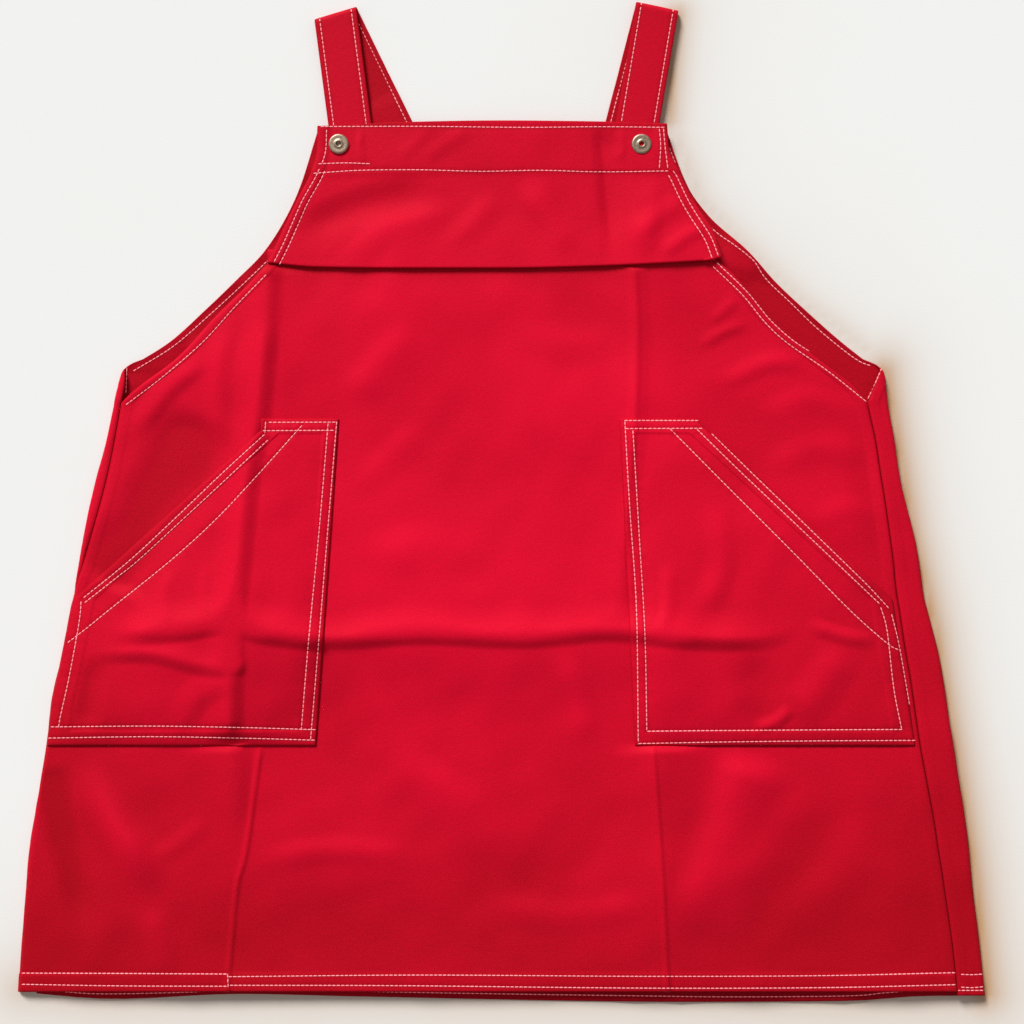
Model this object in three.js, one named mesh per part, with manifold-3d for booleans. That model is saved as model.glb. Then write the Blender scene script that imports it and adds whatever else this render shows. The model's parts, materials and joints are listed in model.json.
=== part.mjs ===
// A pinafore apron of red nylon, laid out flat on its back: front and back panels joined at the sides,
// two pockets, two straps folded over to the back, and two tack buttons.
// Millimetres. X runs to the right as it lies, Y from the hem to the straps, Z up off the surface.
import * as THREE from "three";
import { mergeVertices } from "three/addons/utils/BufferGeometryUtils.js";
import Module from "manifold-3d";

const wasm = await Module();
wasm.setup();

// Cloth and clearances
const CLOTH = 1; // one layer
const DOUBLED = 2; // a turned hem, and the bib's band
const STRAP_THICKNESS = 2;
const GAP = 0.3; // between neighbouring pieces
const POCKET_SEAT = 0.45; // pocket to front panel, along the sewn edges
const SEAM_GAP = 0.5; // between the two panels, where their edges are sewn together
const STEP_RUN = 1; // length over which doubled cloth ends

// Lengths down the apron from the bib's top edge
const BIB_LENGTH = 117; // to the storage tuck
const ARMHOLE_LENGTH = 119; // tuck to underarm
const SKIRT_LENGTH = 501; // underarm to front hem
const BAND_DEPTH = 38;
const HEM_DEPTH = 14;
const BACK_SETBACK = 5; // the back's top edge lies this far below the front's
const BACK_CORNER_RISE = 34; // the back's armhole turns over the side fold this far above the underarm
const BACK_HEM_DROP = 8.5; // most that the back hem shows below the front one

// Widths
const BIB_TOP_WIDTH = 297;
const BIB_FOOT_WIDTH = 386;
const UNDERARM_WIDTH = 657; // side fold to side fold
const HEM_WIDTH = 822;
const BIB_LEAN = 8; // the bib lies this far left of the skirt's centre line
const LEFT_WRAP = 17; // how far the left seam sits from its side fold, at most
const RIGHT_WRAP = 30; // the same at the right
const COLUMN_WIDTH = 1.3; // least width of one strip of the cloth's facets

// Heights
const SIDE_HEIGHT = 6.5; // at the side folds
const LOFT = 2.5; // how much higher the front lies away from the folds
const LOFT_RUN = 90;
const TUCK_RADIUS = 0.9; // middle of the cloth, in the tuck's two bends
const TUCK_DEPTH = 9;
const TUCK_FACETS = 4; // in each of the tuck's bends
const FOLD_STOPS = [-1, -0.5, 0, 0.5, 1]; // columns round a side fold, in quarter turns
const CREASE_HEIGHT = 1.3;
const CREASE_REACH = 22; // from a crease's ridge to its foot
const CREASE_PLACE = 0.5888; // of the front's length, for the crease that runs across

// Pockets
const POCKET_DROP = 13.5; // underarm to pocket top
const POCKET_HEIGHT = 278;
const POCKET_TOP_WIDTH = 66;
const MOUTH_DROP = 154; // pocket top to the mouth's lower end
const POCKET_PUFF = 5.4; // how far the pocket stands off the front
const PUFF_RUN = 45;
const POCKET_MARGIN = 4.5; // right pocket's outer edge to the side seam

// Straps and buttons
const STRAP_WIDTH = 36;
const STRAP_END = 34; // how far a strap's end reaches below the band's top edge
const STRAP_RISE = 101.6; // band's top edge to the fold, along the higher strap's centre line
const STRAP_FOLD_RADIUS = 2.5;
const STRAP_FOLD_FACETS = 6;
const STRAP_CLIMB = 14; // length over which the back end climbs onto the back panel
const BUTTON_DROP = 16;
const BUTTON_RADIUS = 8.5;
const BUTTON_HEIGHT = 3;
const PIN_RADIUS = 1.2;
const TACK_RADIUS = 4.5;
const TACK_THICKNESS = 0.8;

const TUCK_STEP = 4 * TUCK_RADIUS; // the bib lies this much higher than the cloth below the tuck
const FOLD_RADIUS = SIDE_HEIGHT / 2;
const QUARTER = (Math.PI / 2) * FOLD_RADIUS; // cloth in a quarter turn of a side fold
const FRONT_LENGTH = BIB_LENGTH + ARMHOLE_LENGTH + SKIRT_LENGTH;
const TUCK_Y = -BIB_LENGTH;
const UNDERARM_Y = TUCK_Y - ARMHOLE_LENGTH;
const HEM_Y = -FRONT_LENGTH;
const CREASE_Y = -CREASE_PLACE * FRONT_LENGTH;
const TACK_TOP = CLOTH + STRAP_THICKNESS + TACK_THICKNESS + 2 * GAP; // tack's head, over a strap's back end
const STRAP_FRONT = TACK_TOP + GAP + STRAP_THICKNESS / 2; // middle of a strap's front end
const BAND_HEIGHT = STRAP_FRONT + STRAP_THICKNESS / 2 + GAP + DOUBLED;

// Half widths of the skirt: `left` and `right` go from 0, the underarm's, to 1, the hem's.
// The seams' distance round the side folds: 1 is the whole wrap on top, and below 0 it is underneath.
const SKIRT_ROWS = [
  { name: "armhole corner", down: -0.068, left: -0.144, right: -0.124, seamLeft: 0, seamRight: 0 },
  { name: "corner turn", down: -0.051, left: -0.082, right: -0.046, seamLeft: 0.1, seamRight: 0.3 },
  { name: "below the corner", down: -0.029, left: -0.046, right: -0.02, seamLeft: 0.3, seamRight: 0.5 },
  { name: "underarm", down: 0, left: 0, right: 0, seamLeft: 0.4, seamRight: 0.63 },
  { name: "upper side", down: 0.066, left: 0.093, right: 0.07, seamLeft: 0.51, seamRight: 0.59 },
  { name: "pocket start", down: 0.132, left: 0.206, right: 0.124, seamLeft: 0.65, seamRight: 0.57 },
  { name: "waist", down: 0.248, left: 0.35, right: 0.304, seamLeft: 0.41, seamRight: 0.78 },
  { name: "seam nears the fold", down: 0.28, left: 0.383, right: 0.335, seamLeft: 0.27, seamRight: 0.8 },
  { name: "seam at the fold", down: 0.305, left: 0.41, right: 0.355, seamLeft: 0.1, seamRight: 0.82 },
  { name: "mouth end", down: 0.331, left: 0.437, right: 0.38, seamLeft: -0.06, seamRight: 0.83 },
  { name: "seam below the fold", down: 0.35, left: 0.46, right: 0.41, seamLeft: -0.16, seamRight: 0.86 },
  { name: "hip", down: 0.44, left: 0.567, right: 0.546, seamLeft: -0.45, seamRight: 1 },
  { name: "below the hip", down: 0.506, left: 0.66, right: 0.61, seamLeft: -0.6, seamRight: 1 },
  { name: "pocket foot", down: 0.577, left: 0.71, right: 0.665, seamLeft: -0.75, seamRight: 0.98 },
  { name: "lower skirt", down: 0.642, left: 0.773, right: 0.73, seamLeft: -0.8, seamRight: 0.96 },
  { name: "three quarters", down: 0.74, left: 0.856, right: 0.83, seamLeft: -0.87, seamRight: 0.95 },
  { name: "soft fold", down: 0.805, left: 0.897, right: 0.866, seamLeft: -0.92, seamRight: 0.88 },
  { name: "above the hem", down: 0.9185, left: 0.969, right: 0.95, seamLeft: -0.98, seamRight: 0.84 },
  { name: "hem", down: 1, left: 1, right: 1, seamLeft: -1, seamRight: 0.83 },
];

// Half widths of the bib from 0, the top's, to 1, the foot's, and its lean as a share of BIB_LEAN
const BIB_ROWS = [
  { name: "top edge", down: 0, left: 0, right: 0, lean: 1 },
  { name: "beside the buttons", down: 0.185, left: 0.02, right: 0.05, lean: 1 },
  { name: "band foot", down: 0.345, left: 0.14, right: 0.24, lean: 1 },
  { name: "upper slant", down: 0.52, left: 0.39, right: 0.44, lean: 0.91 },
  { name: "middle", down: 0.64, left: 0.55, right: 0.62, lean: 0.86 },
  { name: "lower slant", down: 0.82, left: 0.78, right: 0.89, lean: 0.79 },
  { name: "tuck", down: 1, left: 1, right: 1.02, lean: 0.74 },
];

// The front's armhole edges from 0, the bib's foot, to 1, the seam at the underarm
const ARMHOLE_ROWS = [
  { name: "under the tuck", down: 0, left: 0, right: -0.05 },
  { name: "armhole start", down: 0.1, left: 0.08, right: 0.07 },
  { name: "upper curve", down: 0.386, left: 0.357, right: 0.31 },
  { name: "lower curve", down: 0.68, left: 0.62, right: 0.65 },
  { name: "armhole end", down: 0.92, left: 0.92, right: 0.94 },
];

// The back's edges from 0, its top corner, to 1, where its armhole reaches the side fold
const BACK_ROWS = [
  { name: "top edge", down: 0, left: 0, right: 0 },
  { name: "side of the bib", down: 0.25, left: 0.1, right: 0.11 },
  { name: "armhole start", down: 0.37, left: 0.17, right: 0.21 },
  { name: "upper curve", down: 0.52, left: 0.29, right: 0.4 },
  { name: "middle of the armhole", down: 0.65, left: 0.45, right: 0.53 },
  { name: "lower curve", down: 0.78, left: 0.62, right: 0.685 },
  { name: "flat stretch", down: 0.909, left: 0.8, right: 0.85 },
];

// The back's armhole over the side fold: -1 flat on the surface, 0 at the fold, 1 at the underarm seam
const TURN_ROWS = [
  { name: "corner", down: 0, left: -1, right: -1 },
  { name: "round the fold", down: 0.12, left: 0, right: 0 },
  { name: "on top", down: 0.3, left: 0.6, right: 0.35 },
  { name: "towards the seam", down: 0.6, left: 0.9, right: 0.65 },
];

// How far the back hem hangs below the front hem, as a share of BACK_HEM_DROP
const HEM_ROWS = [
  { name: "left fold", across: 0, drop: 0 },
  { name: "left wave", across: 0.1, drop: 0.7 },
  { name: "left crease", across: 0.23, drop: 0.2 },
  { name: "middle", across: 0.35, drop: 0.45 },
  { name: "right wave", across: 0.7, drop: 1 },
  { name: "wave end", across: 0.86, drop: 0.9 },
  { name: "right fold", across: 0.94, drop: 0.4 },
  { name: "right edge", across: 1, drop: 0.37 },
];

// Storage creases down the front: `down` of its length, `across` of the hem's half width
const LEFT_CREASE = [
  { name: "tuck", down: 0.16, across: -0.484 },
  { name: "pocket top", down: 0.34, across: -0.494 },
  { name: "pocket foot", down: 0.72, across: -0.5 },
  { name: "bend", down: 0.837, across: -0.529 },
  { name: "hem", down: 1, across: -0.571 },
];
const RIGHT_CREASE = [
  { name: "band", down: 0, across: 0.205 },
  { name: "above the tuck", down: 0.156, across: 0.234 },
  { name: "below the tuck", down: 0.165, across: 0.273 },
  { name: "pocket top", down: 0.33, across: 0.275 },
  { name: "pocket foot", down: 0.72, across: 0.312 },
  { name: "hem", down: 1, across: 0.343 },
];
const CROSS_CREASE = [
  { name: "left end", across: -0.86, height: 0 },
  { name: "left pocket", across: -0.72, height: 1 },
  { name: "right pocket", across: 0.52, height: 1 },
  { name: "right end", across: 0.68, height: 0 },
];

// The inner edges are shares of the hem's half width, and `mouthStart` is a share of the mouth's drop
const POCKETS = [
  { side: "left", hand: -1, innerTop: 0.3372, innerFoot: 0.3847, mouthStart: 0.065 },
  { side: "right", hand: 1, innerTop: 0.2448, innerFoot: 0.2764, mouthStart: 0.013 },
];
const POCKET_ROWS = [
  { name: "top edge", down: 0 },
  { name: "mouth start", down: 0.037 },
  { name: "top swell", down: 0.1 },
  { name: "top swell end", down: 0.17 },
  { name: "upper middle", down: 0.26 },
  { name: "middle", down: 0.35 },
  { name: "above the mouth's end", down: 0.45 },
  { name: "foot swell start", down: 0.81 },
  { name: "foot swell", down: 0.87 },
  { name: "above the foot", down: 0.93 },
  { name: "foot", down: 1 },
];

// `foot` is the strap's centre line at the band's top edge, a share of the bib's half width there,
// `rise` a share of STRAP_RISE, and `button` a share of the strap's half width
const STRAPS = [
  { side: "left", foot: -0.8714, rise: 0.941, lean: -7.5, fold: 16.75, button: -0.62 },
  { side: "right", foot: 0.7785, rise: 1, lean: 9.6, fold: -12, button: 0.34 },
];

// How a strap rises from its seat, at 1, to its fold, and `skew`, how far its rows turn with the fold
const STRAP_FRONT_ROWS = [
  { name: "flat on the band", place: 1, skew: 0 },
  { name: "leaving the band", place: 0.7, skew: 0.3 },
  { name: "turning with the fold", place: 0.4, skew: 1 },
  { name: "at the fold", place: 0.15, skew: 1 },
];
const STRAP_BACK_ROWS = [
  { name: "under the fold", place: 0.75, skew: 1 },
  { name: "turning back", place: 0.5, skew: 0.3 },
];

/** The value a share of the way between two others. */
function between(from, to, share) {
  return from + (to - from) * share;
}

/** Keeps a number between 0 and 1. */
function unit(value) {
  return Math.min(1, Math.max(0, value));
}

/** A rise from 0 to 1 that starts steep and ends level. */
function swell(share) {
  return 1 - (1 - unit(share)) ** 2;
}

/** Reads a column of a table at a place between its rows. */
function read(table, key, column, place) {
  const last = table.length - 1;
  if (place <= table[0][key]) return table[0][column];
  if (place >= table[last][key]) return table[last][column];
  const next = table.findIndex((row) => row[key] > place);
  const [above, below] = [table[next - 1], table[next]];
  return between(above[column], below[column], (place - above[key]) / (below[key] - above[key]));
}

/** The skirt's outermost lines, its side folds, at a height. */
function foldLines(y) {
  const down = (UNDERARM_Y - y) / SKIRT_LENGTH;
  const half = (side) => between(UNDERARM_WIDTH, HEM_WIDTH, read(SKIRT_ROWS, "down", side, down)) / 2;
  return { left: -half("left"), right: half("right") };
}

/** How far a storage crease runs from the centre line at a height. */
function creaseLine(table, y) {
  return (read(table, "down", "across", -y / FRONT_LENGTH) * HEM_WIDTH) / 2;
}

/** The ridge of a crease, 1 on its line and 0 past its reach. */
function ridge(distance) {
  return unit(1 - Math.abs(distance) / CREASE_REACH);
}

/** Height of the creases over the smooth front. */
function creaseHeight(x, y) {
  const down = -y / FRONT_LENGTH;
  const left = y < TUCK_Y ? ridge(x - creaseLine(LEFT_CREASE, y)) : 0;
  const right = ridge(x - creaseLine(RIGHT_CREASE, y)) * unit(down / (BAND_DEPTH / FRONT_LENGTH) - 1);
  const across = ridge(y - CREASE_Y) * read(CROSS_CREASE, "across", "height", x / (HEM_WIDTH / 2));
  return CREASE_HEIGHT * (left + right + across);
}

/** Height of the front's outer face below the tuck, without creases. */
function bodyHeight(x, y) {
  const { left, right } = foldLines(y);
  const inside = Math.min(x - left, right - x) - FOLD_RADIUS;
  return SIDE_HEIGHT + LOFT * swell(inside / LOFT_RUN);
}

/** Height of the front's outer face anywhere on it. */
function frontHeight(x, y) {
  if (y < TUCK_Y) return bodyHeight(x, y) + creaseHeight(x, y);
  const tuckTop = bodyHeight(x, TUCK_Y) + TUCK_STEP;
  const belowBand = unit((-y - BAND_DEPTH) / (BIB_LENGTH - BAND_DEPTH));
  return between(BAND_HEIGHT, tuckTop, belowBand) + creaseHeight(x, y);
}

/**
 * The loop of cloth at one height, from the left side fold's outermost line over the top to the right
 * and back underneath. A place on it is a length of cloth from that line.
 */
class Loop {
  constructor(y) {
    this.y = y;
    Object.assign(this, foldLines(y));
    this.flat = this.right - this.left - 2 * FOLD_RADIUS;
    this.half = this.flat + 2 * QUARTER;
    this.whole = 2 * this.half;
  }

  /** The place of a line on top of the loop. */
  onTop(x) {
    return QUARTER + x - this.left - FOLD_RADIUS;
  }

  /** The place of a line underneath. */
  underneath(x) {
    return this.half + QUARTER + this.right - FOLD_RADIUS - x;
  }

  /** Outer face and outward direction in the section at a place. */
  at(place) {
    let rest = ((place % this.whole) + this.whole) % this.whole;
    const around = (centre, angle) => ({
      x: centre + FOLD_RADIUS * Math.sin(angle),
      z: FOLD_RADIUS + FOLD_RADIUS * Math.cos(angle),
      nx: Math.sin(angle),
      nz: Math.cos(angle),
    });
    const [leftCentre, rightCentre] = [this.left + FOLD_RADIUS, this.right - FOLD_RADIUS];
    if (rest < QUARTER) return around(leftCentre, rest / FOLD_RADIUS - Math.PI / 2);
    rest -= QUARTER;
    if (rest < this.flat) {
      const x = leftCentre + rest;
      return { x, z: frontHeight(x, this.y), nx: 0, nz: 1 };
    }
    rest -= this.flat;
    if (rest < 2 * QUARTER) return around(rightCentre, rest / FOLD_RADIUS);
    rest -= 2 * QUARTER;
    if (rest < this.flat) return { x: rightCentre - rest, z: 0, nx: 0, nz: -1 };
    rest -= this.flat;
    return around(leftCentre, Math.PI + rest / FOLD_RADIUS);
  }
}

/** The side seams at a height, as places on the loop there. */
function seamPlaces(loop) {
  const down = (UNDERARM_Y - loop.y) / SKIRT_LENGTH;
  return {
    left: LEFT_WRAP * read(SKIRT_ROWS, "down", "seamLeft", down),
    right: loop.half - RIGHT_WRAP * read(SKIRT_ROWS, "down", "seamRight", down),
  };
}

/** Columns from start to end through the stops between, with equal steps from stop to stop. */
function columnsThrough(start, stops, end, steps) {
  const places = [start, ...stops, end];
  const last = places.length - 1;
  for (let k = 1; k < last; k += 1) {
    places[k] = Math.max(places[k], places[k - 1] + steps[k - 1] * COLUMN_WIDTH);
  }
  for (let k = last - 1; k > 0; k -= 1) {
    places[k] = Math.min(places[k], places[k + 1] - steps[k] * COLUMN_WIDTH);
  }
  const columns = [start];
  for (let k = 1; k <= last; k += 1) {
    for (let n = 1; n <= steps[k - 1]; n += 1) {
      columns.push(between(places[k - 1], places[k], n / steps[k - 1]));
    }
  }
  return columns;
}

/** A closed sheet from rows of points, each with its outer and its inner face. */
function sheetGeometry(grid) {
  const [rows, columns] = [grid.length, grid[0].length];
  const positions = ["outer", "inner"].flatMap((face) => grid.flat().flatMap((point) => point[face]));
  const index = [];
  const outer = (i, j) => i * columns + j;
  const inner = (i, j) => rows * columns + outer(i, j);
  const quad = (a, b, c, d) => index.push(a, b, c, a, c, d);
  for (let i = 0; i < rows - 1; i += 1) {
    for (let j = 0; j < columns - 1; j += 1) {
      quad(outer(i, j), outer(i + 1, j), outer(i + 1, j + 1), outer(i, j + 1));
      quad(inner(i, j), inner(i, j + 1), inner(i + 1, j + 1), inner(i + 1, j));
    }
  }
  const rim = (a, b) => quad(outer(...b), outer(...a), inner(...a), inner(...b));
  for (let i = 0; i < rows - 1; i += 1) {
    rim([i, 0], [i + 1, 0]);
    rim([i + 1, columns - 1], [i, columns - 1]);
  }
  for (let j = 0; j < columns - 1; j += 1) {
    rim([rows - 1, j], [rows - 1, j + 1]);
    rim([0, j + 1], [0, j]);
  }
  const geometry = new THREE.BufferGeometry();
  geometry.setAttribute("position", new THREE.Float32BufferAttribute(positions, 3));
  geometry.setIndex(index);
  return geometry;
}

/**
 * One point of a panel, on both faces. The cloth's outer half layer keeps its place, and doubled cloth
 * thickens it inwards. A row of the tuck also turns it, about the line across the apron.
 */
function clothPoint(spot, y, { thickness = CLOTH, lift = 0, turn = 0 }) {
  const half = CLOTH / 2;
  const middle = [spot.x - half * spot.nx, y, spot.z - half * spot.nz + lift];
  const out = [spot.nx, spot.nz * Math.sin(turn), spot.nz * Math.cos(turn)];
  const along = (distance) => middle.map((value, k) => value + distance * out[k]);
  return { outer: along(half), inner: along(half - thickness) };
}

/** Rows where plain cloth meets a doubled stretch, on either side of the step. */
function stepRows(y, thicknessAbove, thicknessBelow) {
  return [
    { y: y + STEP_RUN / 2, thickness: thicknessAbove },
    { y: y - STEP_RUN / 2, thickness: thicknessBelow },
  ];
}

/** Heights of the skirt's rows, which both panels share so that their seams run side by side. */
function skirtHeights() {
  const sides = SKIRT_ROWS.filter(({ down }) => down >= 0 && down < 1).map(
    ({ down }) => UNDERARM_Y - down * SKIRT_LENGTH,
  );
  return [...sides, CREASE_Y + CREASE_REACH, CREASE_Y].sort((a, b) => b - a);
}

/** Left and right edges of the bib at a height. */
function bibEdges(y) {
  const down = -y / BIB_LENGTH;
  const half = (side) => between(BIB_TOP_WIDTH, BIB_FOOT_WIDTH, read(BIB_ROWS, "down", side, down)) / 2;
  const centre = -BIB_LEAN * read(BIB_ROWS, "down", "lean", down);
  return { left: centre - half("left"), right: centre + half("right") };
}

/** The front panel's edges at a height, as places on the loop there. */
function frontEdges(loop) {
  if (loop.y > UNDERARM_Y) {
    const { left, right } = bibEdges(Math.max(loop.y, TUCK_Y));
    if (loop.y > TUCK_Y) return { start: loop.onTop(left), end: loop.onTop(right) };
    const underarm = new Loop(UNDERARM_Y);
    const seams = seamPlaces(underarm);
    const down = (TUCK_Y - loop.y) / ARMHOLE_LENGTH;
    const edge = (from, side) => {
      const share = down < 1 ? read(ARMHOLE_ROWS, "down", side, down) : 1;
      return loop.onTop(between(from, underarm.at(seams[side]).x, share));
    };
    return { start: edge(left, "left"), end: edge(right, "right") };
  }
  const seams = seamPlaces(loop);
  return { start: seams.left + SEAM_GAP / 2, end: seams.right - SEAM_GAP / 2 };
}

/** Rows of the storage tuck: the bib bends back under itself, then forward again a step lower. */
function tuckRows() {
  const section = TUCK_Y - STEP_RUN / 10; // where the tuck's rows take their edges and heights from
  const rows = [];
  for (let n = 0; n <= TUCK_FACETS; n += 1) {
    const angle = (Math.PI * n) / TUCK_FACETS;
    rows.push({
      y: TUCK_Y + TUCK_RADIUS - TUCK_RADIUS * Math.sin(angle),
      lift: TUCK_STEP - TUCK_RADIUS * (1 - Math.cos(angle)),
      turn: -angle,
    });
  }
  for (let n = 0; n <= TUCK_FACETS; n += 1) {
    const angle = (Math.PI * n) / TUCK_FACETS;
    rows.push({
      y: TUCK_Y + TUCK_RADIUS + TUCK_DEPTH + TUCK_RADIUS * Math.sin(angle),
      lift: TUCK_RADIUS * (1 + Math.cos(angle)),
      turn: angle - Math.PI,
    });
  }
  return rows.map((row) => ({ ...row, section }));
}

/** The front panel, with its band, tuck, creases and hem. */
function frontPanelGeometry() {
  const bibRows = BIB_ROWS.slice(1, -1).map(({ down }) => {
    const y = -down * BIB_LENGTH;
    return { y, thickness: y > -BAND_DEPTH ? DOUBLED : CLOTH };
  });
  const armholeRows = ARMHOLE_ROWS.map(({ down }) => ({ y: TUCK_Y - STEP_RUN - down * ARMHOLE_LENGTH }));
  const rows = [
    { y: 0, thickness: DOUBLED },
    ...[...bibRows, ...stepRows(-BAND_DEPTH, DOUBLED, CLOTH)].sort((a, b) => b.y - a.y),
    { y: TUCK_Y + TUCK_DEPTH + 2 * TUCK_RADIUS },
    ...tuckRows(),
    ...armholeRows,
    ...skirtHeights().map((y) => ({ y })),
    ...stepRows(HEM_Y + HEM_DEPTH, CLOTH, DOUBLED),
    { y: HEM_Y, thickness: DOUBLED },
  ];
  const leftTurn = FOLD_STOPS.map((share) => share * QUARTER);
  const grid = rows.map((row) => {
    const loop = new Loop(row.section ?? row.y);
    const { start, end } = frontEdges(loop);
    const rails = [LEFT_CREASE, RIGHT_CREASE].flatMap((table) => {
      const ridgePlace = loop.onTop(creaseLine(table, loop.y));
      return [ridgePlace - CREASE_REACH, ridgePlace, ridgePlace + CREASE_REACH];
    });
    const columns = columnsThrough(start, [...leftTurn, ...rails], end, [1, 1, 1, 1, 1, 3, 1, 1, 6, 1, 1, 4]);
    return columns.map((place) => clothPoint(loop.at(place), row.y, row));
  });
  return sheetGeometry(grid);
}

/** The back panel, flat on the surface, with both sides turned up round the side folds. */
function backPanelGeometry() {
  const cornerY = UNDERARM_Y + BACK_CORNER_RISE;
  const topY = -BACK_SETBACK;
  const corner = foldLines(cornerY);
  const bib = bibEdges(0);
  const flatEdge = (side, row) => {
    const reach = corner[side] - Math.sign(corner[side]) * FOLD_RADIUS;
    return between(bib[side], reach, row[side]);
  };
  const flatRows = BACK_ROWS.map((row) => {
    const loop = new Loop(between(topY, cornerY, row.down));
    const [right, left] = ["right", "left"].map((side) => loop.underneath(flatEdge(side, row)));
    return { loop, start: right, end: left };
  });
  const turned = (share, seam) => (share < 0 ? share * QUARTER : share * seam);
  const turnRows = TURN_ROWS.map((row) => {
    const loop = new Loop(between(cornerY, UNDERARM_Y, row.down));
    const seams = seamPlaces(new Loop(UNDERARM_Y));
    const rightSeam = new Loop(UNDERARM_Y).half - seams.right;
    return {
      loop,
      start: loop.half - turned(row.right, rightSeam),
      end: loop.whole + turned(row.left, seams.left),
    };
  });
  const seamRow = (y, extra = {}) => {
    const loop = new Loop(y);
    const seams = seamPlaces(loop);
    return { loop, start: seams.right + SEAM_GAP / 2, end: loop.whole + seams.left - SEAM_GAP / 2, ...extra };
  };
  const skirtRows = skirtHeights().map((y) => seamRow(y));
  const hemRows = [
    ...stepRows(HEM_Y + HEM_DEPTH, CLOTH, DOUBLED).map(({ y, thickness }) => seamRow(y, { thickness })),
    seamRow(HEM_Y, { thickness: DOUBLED, hangs: true }),
  ];
  const grid = [...flatRows, ...turnRows, ...skirtRows, ...hemRows].map((row) => {
    const { loop, start, end } = row;
    const rightTurn = FOLD_STOPS.map((share) => loop.half + share * QUARTER);
    const leftTurn = FOLD_STOPS.map((share) => loop.whole + share * QUARTER);
    const columns = columnsThrough(start, [...rightTurn, ...leftTurn], end, [2, 1, 1, 1, 1, 8, 1, 1, 1, 1, 1]);
    return columns.map((place) => {
      const spot = loop.at(place);
      const drop = row.hangs ? BACK_HEM_DROP * read(HEM_ROWS, "across", "drop", 0.5 + spot.x / HEM_WIDTH) : 0;
      return clothPoint(spot, loop.y - drop, row);
    });
  });
  return sheetGeometry(grid);
}

/** One pocket: its edges, and how far it stands off the front panel. */
class Pocket {
  constructor(spec) {
    Object.assign(this, spec);
    this.topY = UNDERARM_Y - POCKET_DROP;
    this.footY = this.topY - POCKET_HEIGHT;
    this.mouthEndY = this.topY - MOUTH_DROP;
    this.mouthEndX = new Loop(this.mouthEndY).at(this.sideEdge(this.mouthEndY)).x;
  }

  /** The sewn edge nearer the centre line. */
  innerEdge(y) {
    const inset = between(this.innerTop, this.innerFoot, (this.topY - y) / POCKET_HEIGHT);
    return (this.hand * inset * HEM_WIDTH) / 2;
  }

  /** The sewn edge below the mouth, as a place on the loop. */
  sideEdge(y) {
    const loop = new Loop(y);
    return this.hand < 0 ? QUARTER / 2 : seamPlaces(loop).right - POCKET_MARGIN;
  }

  /** The outer edge, mouth and side, as a place on the loop. */
  outerEdge(y) {
    if (y <= this.mouthEndY) return this.sideEdge(y);
    const startY = this.topY - this.mouthStart * MOUTH_DROP;
    const startX = this.innerEdge(this.topY) + this.hand * POCKET_TOP_WIDTH;
    const x = between(startX, this.mouthEndX, unit((startY - y) / (startY - this.mouthEndY)));
    return new Loop(y).onTop(x);
  }

  /** How far the cloth stands off the front at a point: nothing at the sewn edges. */
  puff(x, y) {
    const side = y > this.mouthEndY ? this.mouthEndX : new Loop(y).at(this.sideEdge(y)).x;
    const distances = [
      Math.abs(x - this.innerEdge(y)),
      this.topY - y,
      y - this.footY,
      Math.hypot(x - side, Math.max(0, y - this.mouthEndY)),
    ];
    return distances.reduce((height, distance) => height * swell(distance / PUFF_RUN), POCKET_PUFF);
  }

  /** The pocket's closed sheet. */
  geometry() {
    const tableRows = POCKET_ROWS.map(({ down }) => this.topY - down * POCKET_HEIGHT);
    const creaseRows = [1, 0, -1].map((side) => CREASE_Y + side * CREASE_REACH);
    const rows = [...tableRows, this.mouthEndY, ...creaseRows].sort((a, b) => b - a);
    const table = this.hand < 0 ? LEFT_CREASE : RIGHT_CREASE;
    const steps = this.hand < 0 ? [1, 4, 1, 1, 4] : [1, 1, 1, 7];
    const turn = this.hand < 0 ? [QUARTER] : [];
    const grid = rows.map((y) => {
      const loop = new Loop(y);
      const edges = [this.outerEdge(y), loop.onTop(this.innerEdge(y))];
      const [start, end] = this.hand < 0 ? edges : edges.reverse();
      const ridgePlace = loop.onTop(creaseLine(table, y));
      const rails = [ridgePlace - CREASE_REACH, ridgePlace, ridgePlace + CREASE_REACH];
      return columnsThrough(start, [...turn, ...rails], end, steps).map((place) => {
        const spot = loop.at(place);
        const lift = POCKET_SEAT + this.puff(spot.x, y);
        const away = (distance) => [spot.x + distance * spot.nx, y, spot.z + distance * spot.nz];
        return { outer: away(lift + CLOTH), inner: away(lift) };
      });
    });
    return sheetGeometry(grid);
  }
}

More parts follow.
